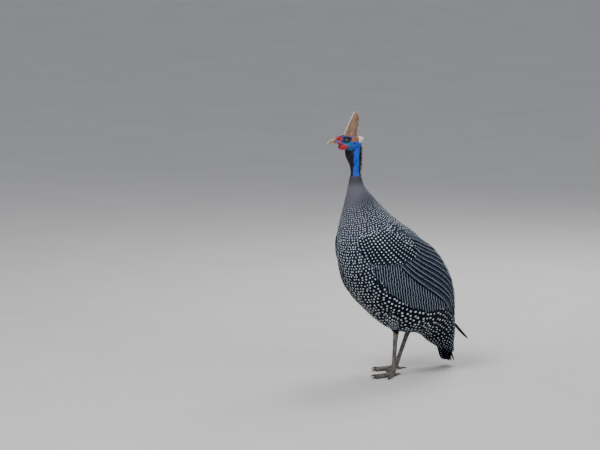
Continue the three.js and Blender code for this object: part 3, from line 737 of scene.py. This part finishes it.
def normals_of(points, faces):
    """Each point's outward direction. A triangle counts its last corner twice."""
    faces = np.array([f[:4] if len(f) > 3 else (*f, f[-1]) for f in faces])
    a, b, c, d = [points[faces[:, i]] for i in range(4)]
    across = np.cross(c - a, d - b)
    total = np.zeros_like(points)
    for i in range(4):
        np.add.at(total, faces[:, i], across)
    return total / np.maximum(np.linalg.norm(total, axis=1, keepdims=True), 1e-12)


def waves(points, scale, seed, count=5):
    """Smooth seeded noise of about -1..1 in mm space."""
    draw = np.random.default_rng(seed)
    total = np.zeros(len(points))
    for _ in range(count):
        phase = points @ draw.normal(size=3) / scale + draw.uniform(0, 6.3)
        total += np.sin(phase + 0.9 * np.sin(points @ draw.normal(size=3) / scale))
    return total / count**0.5


def skull_rings():
    n, angle = ring_grid(len(SKULL) - 1, 40, 48)
    forward, up, side, top, base = np.moveaxis(spline(SKULL, n), -1, 0)
    depth = np.where(np.cos(angle) > 0, top, base)
    return stacked(side * np.sin(angle), -forward, up + depth * np.cos(angle))


def lid(side):
    """Both eyelids as one almond-shaped roll round the eye."""
    rows, sides = 40, 8
    t, a = (np.linspace(0, TURN, count, endpoint=False) for count in (rows, sides))
    forward = EYE["forward"] + LID["wide"] * np.cos(t)
    up = EYE["up"] + LID["tall"] * np.sin(t) - 0.25 * np.cos(t)
    out = EYE["out"] + 3.6 - 0.05 * (LID["wide"] * np.cos(t)) ** 2 + 0.25 * np.maximum(0, np.sin(t))
    middle = stacked(side * out, -forward, up)
    away = unit(middle - np.array([side * (EYE["out"] + 2.0), -EYE["forward"], EYE["up"]]))
    third = np.cross(unit(np.roll(middle, -1, 0) - np.roll(middle, 1, 0)), away)
    around = away[:, None] * np.cos(a)[:, None] + third[:, None] * np.sin(a)[:, None]
    points = middle[:, None] + LID["thick"] * around
    faces = []
    for i in range(rows):
        for j in range(sides):
            k, m = (i + 1) % rows, (j + 1) % sides
            faces.append((i * sides + j, k * sides + j, k * sides + m, i * sides + m))
    return points.reshape(-1, 3), faces


def head_parts():
    """All that one skin covers: skull, bare neck, lids, lips, brows, cheeks and the pads by the bill."""
    n, angle = ring_grid(NECK_BARE_END, 40, 48)
    neck = loft(trunk_point(n, angle, -0.2 - 1.2 * smooth(3.0, 3.8, n)))
    parts = [loft(skull_rings())]
    for side, _ in SIDES:
        parts.append(lid(side))
        for up, radius in ((0.95, 1.25), (-1.35, 1.5)):
            lip = stacked(side * (MOUTH[:, 2] - 0.5), -MOUTH[:, 0], MOUTH[:, 1] + up)
            parts.append(loft(tube(lip, [0.7, radius, radius, 0.8], 20, 12)))
        brow = np.array([(6.2, -26, 17.2), (9.6, -20, 16.6), (10.6, -13, 16.2), (9.4, -5, 14.4)])
        parts.append(loft(tube(brow * [side, 1, 1], [0.8, 1.7, 1.7, 0.9], 20, 12)))
        parts.append(ellipsoid((side * 5.3, -30.5, 12.6), (1.9, 5.2, 3.4)))
        parts.append(ellipsoid((side * 9.2, -16.5, 1.5), (3.2, 7.5, 4.2)))
        parts.append(ellipsoid((side * 10.4, -4.0, 9.0), (2.2, 5.0, 4.6)))
    parts.append(ellipsoid((0, 8.6, 10.6), (5.6, 5.4, 4.2)))
    return joined([neck, *((from_head(points), faces) for points, faces in parts)])


SKIN_TONES = {
    "blue": (0.006, 0.085, 0.6),
    "sky": (0.022, 0.15, 0.4),
    "red": (0.4, 0.01, 0.035),
    "black": (0.0025, 0.003, 0.005),
    "navy": (0.008, 0.014, 0.035),
    "maroon": (0.035, 0.009, 0.014),
    "orange": (0.3, 0.1, 0.055),
    # Painted highlight on the knob at the back of the head
    "pale": (0.72, 0.66, 0.58),
}
# Ovals on the side of the head: forward, up, half width, half height and tilt
NOSTRIL = (31.8, 12.6, 2.3, 0.9, -0.25)
EAR = (3.0, 5.5, 1.3, 1.8)


def near(h, forward, up, wide, tall, tilt=0.0):
    """1 inside an oval on the side of the head, 0 outside it, with a soft edge."""
    x, z = -h[:, 1] - forward, h[:, 2] - up
    c, s = math.cos(tilt), math.sin(tilt)
    r = np.sqrt(((c * x + s * z) / wide) ** 2 + ((c * z - s * x) / tall) ** 2)
    return 1 - smooth(0.82, 1.12, r)


def painted(base, layers):
    """A base tone under layers of tone and weight."""
    colour = np.array(SKIN_TONES[base])
    for tone, weight in layers:
        colour = colour + (SKIN_TONES[tone] - colour) * np.clip(weight, 0, 1)[:, None]
    return colour


def neck_place(points):
    """The section of a point on the bare neck, and its degrees from the middle of the back."""
    n = np.interp(-(points[:, 2]), -(TRUNK[:5, 1]), np.arange(5.0))
    y, _, side, back, front, share = spline(TRUNK, n).T
    local = turned_by(points - SHIFT - stacked(0.0, y, points[:, 2]), -HEAD_TURN * share)
    left, behind = local[:, 0], local[:, 1]
    depth = np.where(behind > 0, back, front)
    return n, np.degrees(np.arctan2(np.abs(left) / side, behind / depth))


def skin_colours(points, relief):
    """The painted areas of neck and head, with painted light and shade on the folds: a little lighter on top
    and darker below.
    """
    n, angle = neck_place(points)
    angle = angle + 4 * waves(points, 4.0, 13)
    low = fade(n, ((0, 46), (1.4, 52), (2.2, 52), (3.2, 50)))
    high = fade(n, ((0, 100), (1.4, 106), (2.2, 122), (3.2, 150)))
    stripe = smooth(low - 5, low + 5, angle) * (1 - smooth(high - 6, high + 6, angle))
    neck = painted("black", [
        ("maroon", 0.5 * smooth(120, 150, angle) * (0.5 + 0.5 * waves(points, 5, 14))),
        ("blue", stripe),
        ("sky", 0.25 * stripe * smooth(1.5, 3.2, n)),
        ("black", 0.85 * smooth(3.1, 3.5, n)),
    ])
    exact = to_head(points)
    h = exact + stacked(0.0, 1.2 * waves(points, 3.2, 11), 0.8 * waves(points, 2.8, 12))
    head = painted("sky", [
        ("blue", 0.5 * near(h, 2, -1, 8, 12)),
        ("blue", 0.9 * near(h, -4, 2, 6, 12)),
        ("black", 1 - smooth(3.0, 5.5, np.abs(h[:, 0]))),
        ("navy", near(h, 17.0, 12.2, 8.4, 6.2)),
        ("sky", 0.8 * near(h, 17, 2.2, 10, 3.6, 0.15) * (1 - near(h, 17.0, 12.2, 7, 6))),
        ("orange", near(h, 1.5, 13.2, 9.5, 4.6, -0.2)),
        ("red", near(h, 31.5, 14.5, 8.0, 4.6, -0.2)),
        ("red", near(h, 28.5, 5.6, 7.0, 2.2, 0.42)),
        ("navy", 0.8 * near(h, 26, 9.6, 4.2, 1.8, 0.3)),
        # A painted highlight on the knob at the back of the head, where the light from above falls
        ("pale", near(h, -10.5, 10.8, 6.6, 5.2)),
        # Painted shade in the sunk nostril and ear
        ("black", 0.9 * np.maximum(near(exact, *NOSTRIL), near(exact, *EAR))),
    ])
    face = smooth(-9, -4, h[:, 2] + 0.35 * (-h[:, 1] - 8))
    colour = neck + (head - neck) * face[:, None]
    # Painted light and shade from the relief: raised skin a little lighter, hollows darker, the sunk nostril
    # and ear darkest
    return np.clip(colour * np.clip(1 + 0.35 * relief, 0.45, 1.25)[:, None], 0, 1)


def head_skin():
    points, faces = head_parts()
    points, faces = remeshed("head_skin", points, faces, SKIN_VOXEL, SKIN_ROUNDS)
    h = to_head(points)
    # Fine folds, along the neck and round the face
    folds = waves(points * [1, 1, 0.35], 1.05, 21)
    neck = 1 - smooth(-8, 2, h[:, 2])
    relief = 0.16 * folds * (0.35 + 0.65 * neck) + 0.07 * waves(points, 0.55, 22)
    # Rings of fine folds round the eye, and the sunk nostril and ear
    ring = np.hypot(-h[:, 1] - EYE["forward"], (h[:, 2] - EYE["up"]) * 1.1)
    relief += 0.13 * np.sin(ring * TURN / 1.5) * smooth(4.6, 5.2, ring) * smooth(9.5, 6.0, ring)
    relief -= 1.1 * near(h, *NOSTRIL) + 1.0 * near(h, *EAR)
    h = to_head(points + normals_of(points, faces) * relief[:, None])
    # The skin sinks behind the eyeballs
    away = np.hypot(-h[:, 1] - EYE["forward"], h[:, 2] - EYE["up"])
    ball = EYE["out"] + np.sqrt(np.maximum(EYE["radius"] ** 2 - away**2, 0)) - 0.7
    for side, _ in SIDES:
        inside = (1 - smooth(2.7, 3.3, away)) * (h[:, 0] * side > 5)
        h[:, 0] += inside * np.minimum(0, ball - side * h[:, 0]) * side
    points = from_head(h)
    m = Nodes("bare_skin")
    tone = m.node("ShaderNodeVertexColor", layer_name="tone")
    colour = m.mix(m.times(m.noise(m.place(), 1800.0, 3.0), 0.3), tone, (0.005, 0.005, 0.008))
    m.bump(m.cells(1500), 0.35, 0.0003)
    material = m.finish(colour, 0.5, Specular_IOR_Level=0.25)
    mesh = add_mesh("head_skin", points, faces, material, "blue_skin", ["head", "neck_bare", "cere"])
    colours = np.insert(skin_colours(points, relief / 0.2), 3, 1, axis=1)
    layer = mesh.color_attributes.new("tone", "FLOAT_COLOR", "POINT")
    layer.data.foreach_set("color", colours.ravel().astype(np.float32))


def eyes():
    m = Nodes("eye")
    place = m.attribute("from_pupil")
    iris = m.mottled(900.0, (0.018, 0.007, 0.003), (0.06, 0.026, 0.011))
    colour = m.mix(m.step(place, 0.5, 0.56), (0.001, 0.001, 0.001), iris)
    colour = m.mix(m.step(place, 0.86, 1.0), colour, (0.006, 0.004, 0.003))
    material = m.finish(colour, 0.06, Coat_Weight=1.0, Coat_Roughness=0.02)
    t = np.linspace(0.001, math.pi - 0.001, 40)[:, None]
    _, a = ring_grid(1, len(t), 48)
    bulge = 1 + 0.05 * np.exp(-((t / 0.45) ** 2))[..., None]
    # 0 at the pupil's middle and 1 at the iris's edge. The back half is past it
    place = np.append(np.repeat(np.sin(t[:, 0]) + (t[:, 0] > math.pi / 2), a.size), [0, 2]) / 0.72
    for side, name in SIDES:
        ball = stacked(side * np.cos(t), np.sin(t) * np.cos(a), np.sin(t) * np.sin(a))
        centre = np.array([side * EYE["out"], -EYE["forward"], EYE["up"]])
        points, faces = loft(from_head(centre + EYE["radius"] * ball * bulge))
        if side < 0:
            faces = [face[::-1] for face in faces]
        add_mesh(f"eyeball_{name}", points, faces, material, "eye", [f"eye_{name}"], from_pupil=place)


def wattles():
    m = Nodes("wattle")
    colour = m.mottled(300.0, (0.2, 0.006, 0.014), (0.46, 0.022, 0.036))
    m.bump(m.cells(1300), 0.4, 0.0004)
    material = m.finish(colour, 0.45, Specular_IOR_Level=0.45)
    thick, long, tall = 2.3, 9.6, 5.2
    for side, name in SIDES:
        points, faces = ellipsoid(np.zeros(3), (thick, long, tall), 48, 64)
        lobe = points[:, 1] / long
        points[:, 2] += -1.1 * lobe**2 + 0.9 * lobe
        points[:, 2] *= 1 - 0.25 * np.clip(-lobe, 0, 1)
        points[:, 0] += side * 0.9 * np.sin(points[:, 2] / 3.2)
        points += normals_of(points, faces) * (0.14 * waves(points, 0.9, 31 + side))[:, None]
        turn, tip = Matrix.Rotation(side * -0.34, 3, "Z"), Matrix.Rotation(0.1, 3, "X")
        points = points @ np.array(turn).T @ np.array(tip).T
        points = from_head(points + [side * 10.2, -23.4, -1.4])
        add_mesh(f"wattle_lobe_{name}", points, faces, material, "red_skin", [f"wattle_{name}"])


# The pale of the bill's tip and the casque's edges, and on the casque's knob a painted highlight
HORN_PALE = (0.74, 0.66, 0.57)


def horn_material(name, dark, light, root, mottle):
    m = Nodes(name)
    shade = m.noise(m.stretched(m.place(), 1, 1, 0.35), mottle, 4.0, 0.6)
    colour = m.mix(m.step(shade, 0.35, 0.68), dark, light)
    colour = m.mix(m.attribute("root"), colour, root)
    # Pale tips and edges, and the painted highlight on the casque's knob
    colour = m.mix(m.attribute("pale"), colour, HORN_PALE)
    m.bump(m.noise(m.stretched(m.place(), 1, 1, 0.3), 900.0, 4.0), 0.35, 0.0005)
    return m.finish(colour, 0.5, Specular_IOR_Level=0.4)


def casque():
    """The tall fluted horn, with a rounded knob behind its foot."""
    n, angle = ring_grid(len(CASQUE) - 1, 90, 96)
    forward, up, length, thick = np.moveaxis(spline(CASQUE, n), -1, 0)
    sine = np.sin(angle)
    flute = 0.22 * np.sin(9 * angle + 0.5 * np.sin(n)) * np.abs(sine) * smooth(7.2, 5, n)
    x = thick * np.abs(sine) ** 0.9 * np.sign(sine) + np.sign(sine) * flute
    rings = stacked(x, (length + 0.1 * np.sin(5 * n)) * np.cos(angle) - forward, up)
    cap = np.linspace(0.93, 0.2, 5)[:, None, None]
    top = rings[-1].mean(0)
    rings = np.concatenate([rings, top + (rings[-1] - top) * cap + np.array([0, 0, 1.0]) * (1 - cap**2)])
    points, faces = loft(rings)
    points += normals_of(points, faces) * (0.1 * waves(points * [1, 1, 0.4], 1.4, 41))[:, None]
    points, faces = joined([(points, faces), ellipsoid((0, 6.4, 13.6), (4.2, 8.4, 3.2))])
    # Pale along the front edge and a little along the upper back edge, a painted highlight on the knob, and
    # red at the root
    up, forward = points[:, 2], -points[:, 1]
    lead = np.interp(up, CASQUE[:, 1], CASQUE[:, 0] + CASQUE[:, 2])
    trail = np.interp(up, CASQUE[:, 1], CASQUE[:, 0] - CASQUE[:, 2])
    pale = (1 - smooth(0.3, 2.0, lead - forward)) * smooth(15, 24, up) * smooth(6, 3, np.abs(points[:, 0]))
    pale = np.maximum(pale, 0.35 * (1 - smooth(0.3, 1.8, forward - trail)) * smooth(34, 50, up))
    # The knob behind the foot is painted pale as a highlight from the light above
    knob = smooth(2.5, -1.5, forward) * (up < 17)
    root = 0.85 * (1 - smooth(17, 24, up + 1.5 * waves(points, 3, 42))) * (1 - knob)
    material = horn_material("casque", (0.14, 0.08, 0.047), (0.29, 0.175, 0.11), (0.3, 0.05, 0.045), 260.0)
    marks = {"root": root, "pale": np.maximum(0.95 * pale, knob)}
    add_mesh("casque_horn", from_head(points), faces, material, "horn", ["casque"], **marks)


def bill():
    material = horn_material("bill", (0.25, 0.165, 0.13), (0.44, 0.34, 0.285), (0.34, 0.03, 0.03), 420.0)
    for name, table in (("upper", UPPER), ("lower", LOWER)):
        n, angle = ring_grid(len(table) - 1, 50, 48)
        forward, top, base, side = np.moveaxis(spline(table, n), -1, 0)
        # Each half is round outside and square along the edge where the two meet
        up, wide = np.cos(angle), np.sin(angle)
        meeting = up < 0 if name == "upper" else up > 0
        wide = np.sign(wide) * np.abs(wide) ** np.where(meeting, 0.45, 1.1)
        up = np.sign(up) * np.abs(up) ** np.where(meeting, 0.6, 1.0)
        points, faces = loft(stacked(side * wide, -forward, (top + base) / 2 + up * ((top - base) / 2)))
        forward = -points[:, 1]
        root = 0.8 * (1 - smooth(36.5, 40.5, forward + 0.8 * waves(points, 2.0, 51)))
        marks = {"root": root, "pale": 0.55 * smooth(46, 53, forward)}
        add_mesh(f"bill_{name}_horn", from_head(points), faces, material, "bill", [f"bill_{name}"], **marks)


def nape_plumes():
    """Thin black plumes that stand along the back of the bare neck."""
    count = 620
    n = DRAW.uniform(0.0, 3.3, count)
    angle = np.clip(DRAW.normal(0, 0.42, count), -0.72, 0.72)
    ahead = unit(trunk_point(n + 0.3, angle) - trunk_point(n, angle))
    out = unit(trunk_point(n, angle, 1.0) - trunk_point(n, angle))
    lean = DRAW.uniform(0.25, 0.6, count)[:, None]
    way = unit(ahead * (1 - lean) + out * lean + DRAW.normal(0, 0.1, (count, 3)))
    length = DRAW.uniform(5, 9.5, count)[:, None, None]
    side = unit(np.cross(way, out))
    root, way, side, out = (values[:, None, None] for values in (trunk_point(n, angle, -0.4), way, side, out))
    v, u = np.linspace(0, 1, 5)[:, None], np.array([-1.0, 0.0, 1.0])
    along, sag = (length * v)[..., None], (-0.22 * length * v**2)[..., None]
    across, ridge = (u * (0.32 * (1 - 0.85 * v)))[..., None], (0.12 * (1 - np.abs(u)))[:, None]
    grid = root + way * along + out * sag + side * across + out * ridge
    bake = patch_bake(angle[:, None, None], n[:, None, None] / LAST, u + 1, v)
    material = Nodes("plume").finish((0.004, 0.0042, 0.006), 0.6, Specular_IOR_Level=0.3)
    add_feathers("nape_plumes", grid, stacked(u * 0.3, length * (1 - v)), bake, material, {})


# The legs

# cuff is the share from hock to knee where the feathers start, and heading is the foot's, in degrees
FEET = (
    {"name": "left", "foot": (27, -20), "hock": (30, -17, 84), "knee": (31, -38, 150),
     "cuff": 0.06, "heading": 4, "inward": -1},
    {"name": "right", "foot": (-27, 33), "hock": (-30, 70, 78), "knee": (-31, 44, 130),
     "cuff": -0.06, "heading": -6, "inward": 1},
)
# Each toe's degrees off the heading, its length and its radius
TOES = (("inner", 30, 34, 3.3), ("middle", 0, 45, 3.7), ("outer", -32, 36, 3.3), ("hind", 172, 13, 2.6))
TOE_HEIGHT = 6.5  # mm from the floor to the middle of the foot
SHANK_LENGTH = 104  # mm, for the count of its plates
SHANK_PLATES = {"rows": 260, "sides": 40, "narrow": 0.82, "pitch": 4.4, "depth": 0.7}
TOE_PLATES = {"rows": 120, "sides": 30, "narrow": 1.0, "pitch": 2.9, "depth": 0.5}
OFF_FLOOR = np.array([-np.inf, -np.inf, 0.12])  # the lowest that a toe or claw may reach
SHIN_RADII = ((0, 6.4), (0.34, 8.4), (0.67, 11.5), (1, 6.0))


def between(a, b, share):
    return a + (b - a) * share


def along_toe(leg, turn, outs, ups):
    """Points at distances out from the foot's middle, the way a toe points, and at heights over the floor."""
    way = math.radians(leg["heading"] + leg["inward"] * turn)
    x, y = leg["foot"]
    return stacked(x + outs * math.sin(way), y - outs * math.cos(way), ups) + SHIFT


def scale_material():
    m = Nodes("scales")
    tone = m.noise(m.place(), 180.0, 4.0, 0.6)
    colour = m.mix(m.step(tone, 0.35, 0.7), (0.075, 0.064, 0.058), (0.2, 0.175, 0.155))
    edges = m.step(m.cells(620, "DISTANCE_TO_EDGE"), 0.02, 0.16)
    crack = m.times(m.minus(1.0, edges), m.minus(1.0, m.attribute("plate")))
    # Dark cracks between the small scales, and the plates' seams: a dark joint with painted shade under the
    # next plate's raised free edge
    dark = m.math("MAXIMUM", m.times(crack, 0.7), m.attribute("seam_shade"))
    m.bump(m.minus(1.0, crack), 0.4, 0.0003)
    return m.finish(m.mix(dark, colour, (0.025, 0.021, 0.019)), 0.5, Specular_IOR_Level=0.35)


def scaled_tube(stops, radii, length, forward, distal, rows, sides, narrow, pitch, depth):
    """Rings of a scaly limb, and its marks for the material.

    Plates with free edges lie where the cosine is forward's, either 1 or -1, and distal is 1 where the foot's
    end is at t = 1, or else -1.
    """
    t, angle = ring_grid(1, rows, sides)
    at = (distal * t * length / pitch) % 1  # how far towards its free edge a place on a plate is
    plate = smooth(-0.1, 0.4, forward * np.cos(angle))  # the share of plate against small scales
    rings = tube(stops, radii, rows, sides, narrow, depth * plate * (at - 0.5))
    # A dark seam on the low side of each plate: the joint, and painted shade under the next plate's raised
    # free edge
    seam_shade = 0.8 * plate * (1 - smooth(0.0, 0.22, at))
    plate = np.broadcast_to(plate, seam_shade.shape)
    return rings, {key: np.append(values, [0, 0]) for key, values in (("plate", plate), ("seam_shade", seam_shade))}


def legs(feathers):
    scaly = scale_material()
    m = Nodes("claw")
    dark = m.mottled(500.0, (0.012, 0.01, 0.009), (0.06, 0.05, 0.04))
    claw = m.finish(dark, 0.35, Specular_IOR_Level=0.5)
    for leg in FEET:
        name = leg["name"]
        low, hock, knee = (np.array(p, float) for p in ((*leg["foot"], TOE_HEIGHT), leg["hock"], leg["knee"]))
        stops = [low, between(low, hock, 0.3), between(low, hock, 0.72), hock, between(hock, knee, 0.3)]
        radii = [4.9, 4.2, 4.5, 5.8, 5.4]
        rings, marks = scaled_tube(np.array(stops) + SHIFT, radii, SHANK_LENGTH, 1, -1, **SHANK_PLATES)
        add_mesh(f"shank_scales_{name}", *loft(rings), scaly, "scales", [f"shank_{name}"], **marks)
        toes, toe_marks = [], []
        for toe, turn, length, radius in TOES:
            outs = np.array([0, 0.35, 0.7, 1]) * length
            stops = along_toe(leg, turn, outs, [TOE_HEIGHT, radius + 0.6, radius - 0.6, radius - 0.9])
            radii = [4.5, radius * 1.05, radius, radius * 0.8]
            top = -1 if abs(turn) < 90 else 1
            rings, marks = scaled_tube(stops, radii, length, top, 1, **TOE_PLATES)
            toes.append(loft(np.maximum(rings, OFF_FLOOR)))
            toe_marks.append(marks)
            outs = length + np.array([-4, 2, 6.5, 10])
            stops = along_toe(leg, turn, outs, [radius - 0.7, radius + 0.1, radius - 0.5, 1.0])
            rings = tube(stops, [radius * 0.62, radius * 0.58, radius * 0.38, 0.35], 30, 20, 0.8)
            nail = loft(np.maximum(rings, OFF_FLOOR))
            add_mesh(f"nail_{name}_{toe}", *nail, claw, "claw", [f"claw_{name}_{toe}"])
        marks = {key: np.concatenate([each[key] for each in toe_marks]) for key in ("plate", "seam_shade")}
        add_mesh(f"toes_{name}", *joined(toes), scaly, "scales", [f"foot_{name}"], **marks)
        shin(leg, hock, knee, feathers)


def shin(leg, hock, knee, feathers):
    """The feathered shin: a dark skin under rows of small feathers that point down the leg."""
    name, gap = leg["name"], 6.8
    length, width = gap * 2.5, gap * 1.5
    start = between(hock, knee, leg["cuff"])
    stops = np.array([between(start, knee, share) for share in (0, 0.15, 0.4, 0.85)]) + SHIFT
    skin = loft(tube(stops, [radius for _, radius in SHIN_RADII], 40, 48))
    down = Nodes(f"shin_down_{name}").finish((0.012, 0.013, 0.018), 0.85)
    add_mesh(f"shin_skin_{name}", *skin, down, "plumage", [f"shin_{name}"])
    roots = []
    for i, t in enumerate(np.arange(0.98, 0.0, -0.05)):
        count = round(TURN * float(fade(t, SHIN_RADII)) / 6.4)
        roots += [(t, (j + 0.5 * (i % 2)) / count * TURN) for j in range(count)]
    t, angle = np.array(roots).T[..., None, None]
    t = t + DRAW.normal(0, 0.008, t.shape)
    v, u = SHORT_DOWN, SHORT_ACROSS
    middle = limb_frame(stops, np.linspace(0, 1, 50))[0]
    reach = np.linalg.norm(np.diff(middle, axis=0), axis=1).sum()
    half = width / 2 * outline(v)
    at = t - v * (length / reach)
    held = np.clip(at, 0, 1)
    centre, left, back = limb_frame(stops, held)
    # Past the hock a feather goes straight on, and closer to the leg
    ahead = (stops[0] - limb_frame(stops, 0.02)[0]) / 0.02
    centre = centre + ahead * np.maximum(0, -at)[..., None]
    radius = fade(held, SHIN_RADII)
    turn = angle + u * half / np.maximum(radius, 6)
    out = radius + (-1.0 + 2.2 * v - CUP * u**2 * half - 1.6 * np.clip(-at * 12, 0, 1))
    grid = centre + left * (out * np.sin(turn))[..., None] + back * (out * np.cos(turn))[..., None]
    web, bake = stacked(u * half, (1 - v) * length), patch_bake(angle, t, u, v, 0.97, 0.012)
    marks = feather_marks(dot=1.3 * (t > 0.3), pitch=gap * SPOT_GAP, grey=0.3, shade=0.5 * (t < 0.3))
    add_feathers(f"shin_feathers_{name}", grid, web, bake, feathers, marks)


# The stage

AZIMUTH, ELEVATION = 50, 8  # the photo's view
VIEW_CENTRE = (-0.170, 0.274)  # the picture's middle, in metres right and up from the bird's own middle
DISTANCE = 9.0
PICTURE_WIDTH = 1.11  # metres across the picture at the bird
SENSOR = 36.0
FLOOR = 30  # half the floor's side, in metres
SKY, SKY_STRENGTH = (0.86, 0.9, 1.0, 1), 0.47
LIGHT_AIM = Vector((0, 0, 0.25))
# Metres right, towards the camera and up, then the disk's size in metres and its power in watts
LIGHTS = (
    ("key", -0.9, 1.4, 1.9, 1.1, 45),
    ("fill", 1.6, 1.3, 0.9, 1.6, 12),
    ("rim", 0.5, -1.3, 1.6, 1.0, 22),
)


def stage():
    scene = bpy.context.scene
    a, e = math.radians(AZIMUTH), math.radians(ELEVATION)
    back = Vector((math.sin(a) * math.cos(e), -math.cos(a) * math.cos(e), math.sin(e)))
    right = Vector((math.cos(a), math.sin(a), 0))
    up = back.cross(right)
    aim = Vector(SHIFT / 1000) + right * VIEW_CENTRE[0] + up * VIEW_CENTRE[1]
    data = bpy.data.cameras.new("camera")
    data.lens = SENSOR * DISTANCE / PICTURE_WIDTH
    data.sensor_width = SENSOR
    data.clip_end = 100
    camera = bpy.data.objects.new("camera", data)
    scene.collection.objects.link(camera)
    turn = Matrix((right, up, back)).transposed()
    camera.matrix_world = Matrix.Translation(aim + back * DISTANCE) @ turn.to_4x4()
    scene.camera = camera

    m = Nodes("floor")
    material = m.finish(m.mottled(6.0, (0.56, 0.545, 0.52), (0.64, 0.62, 0.6)), 0.9)
    mesh = bpy.data.meshes.new("floor")
    corners = [(-FLOOR, -FLOOR, 0), (FLOOR, -FLOOR, 0), (FLOOR, FLOOR, 0), (-FLOOR, FLOOR, 0)]
    mesh.from_pydata(corners, [], [(0, 1, 2, 3)])
    mesh.materials.append(material)
    floor = bpy.data.objects.new("floor", mesh)
    scene.collection.objects.link(floor)

    world = bpy.data.worlds.new("studio")
    world.use_nodes = True
    sky = world.node_tree.nodes["Background"]
    sky.inputs["Color"].default_value = SKY
    sky.inputs["Strength"].default_value = SKY_STRENGTH
    scene.world = world
    for name, rightward, backward, height, size, power in LIGHTS:
        light = bpy.data.lights.new(name, "AREA")
        light.shape, light.size, light.energy = "DISK", size, power
        lamp = bpy.data.objects.new(name, light)
        place = right * rightward + back * backward + Vector((0, 0, height))
        lamp.location = place
        lamp.rotation_euler = (LIGHT_AIM - place).to_track_quat("-Z", "Y").to_euler()
        scene.collection.objects.link(lamp)


plumage = feather_material()
body_skin()
coat(plumage)
for wing_side, wing_name in SIDES:
    wing(wing_side, wing_name, plumage)
tail(plumage)
stray(plumage)
head_skin()
eyes()
wattles()
casque()
bill()
nape_plumes()
legs(plumage)
stage()
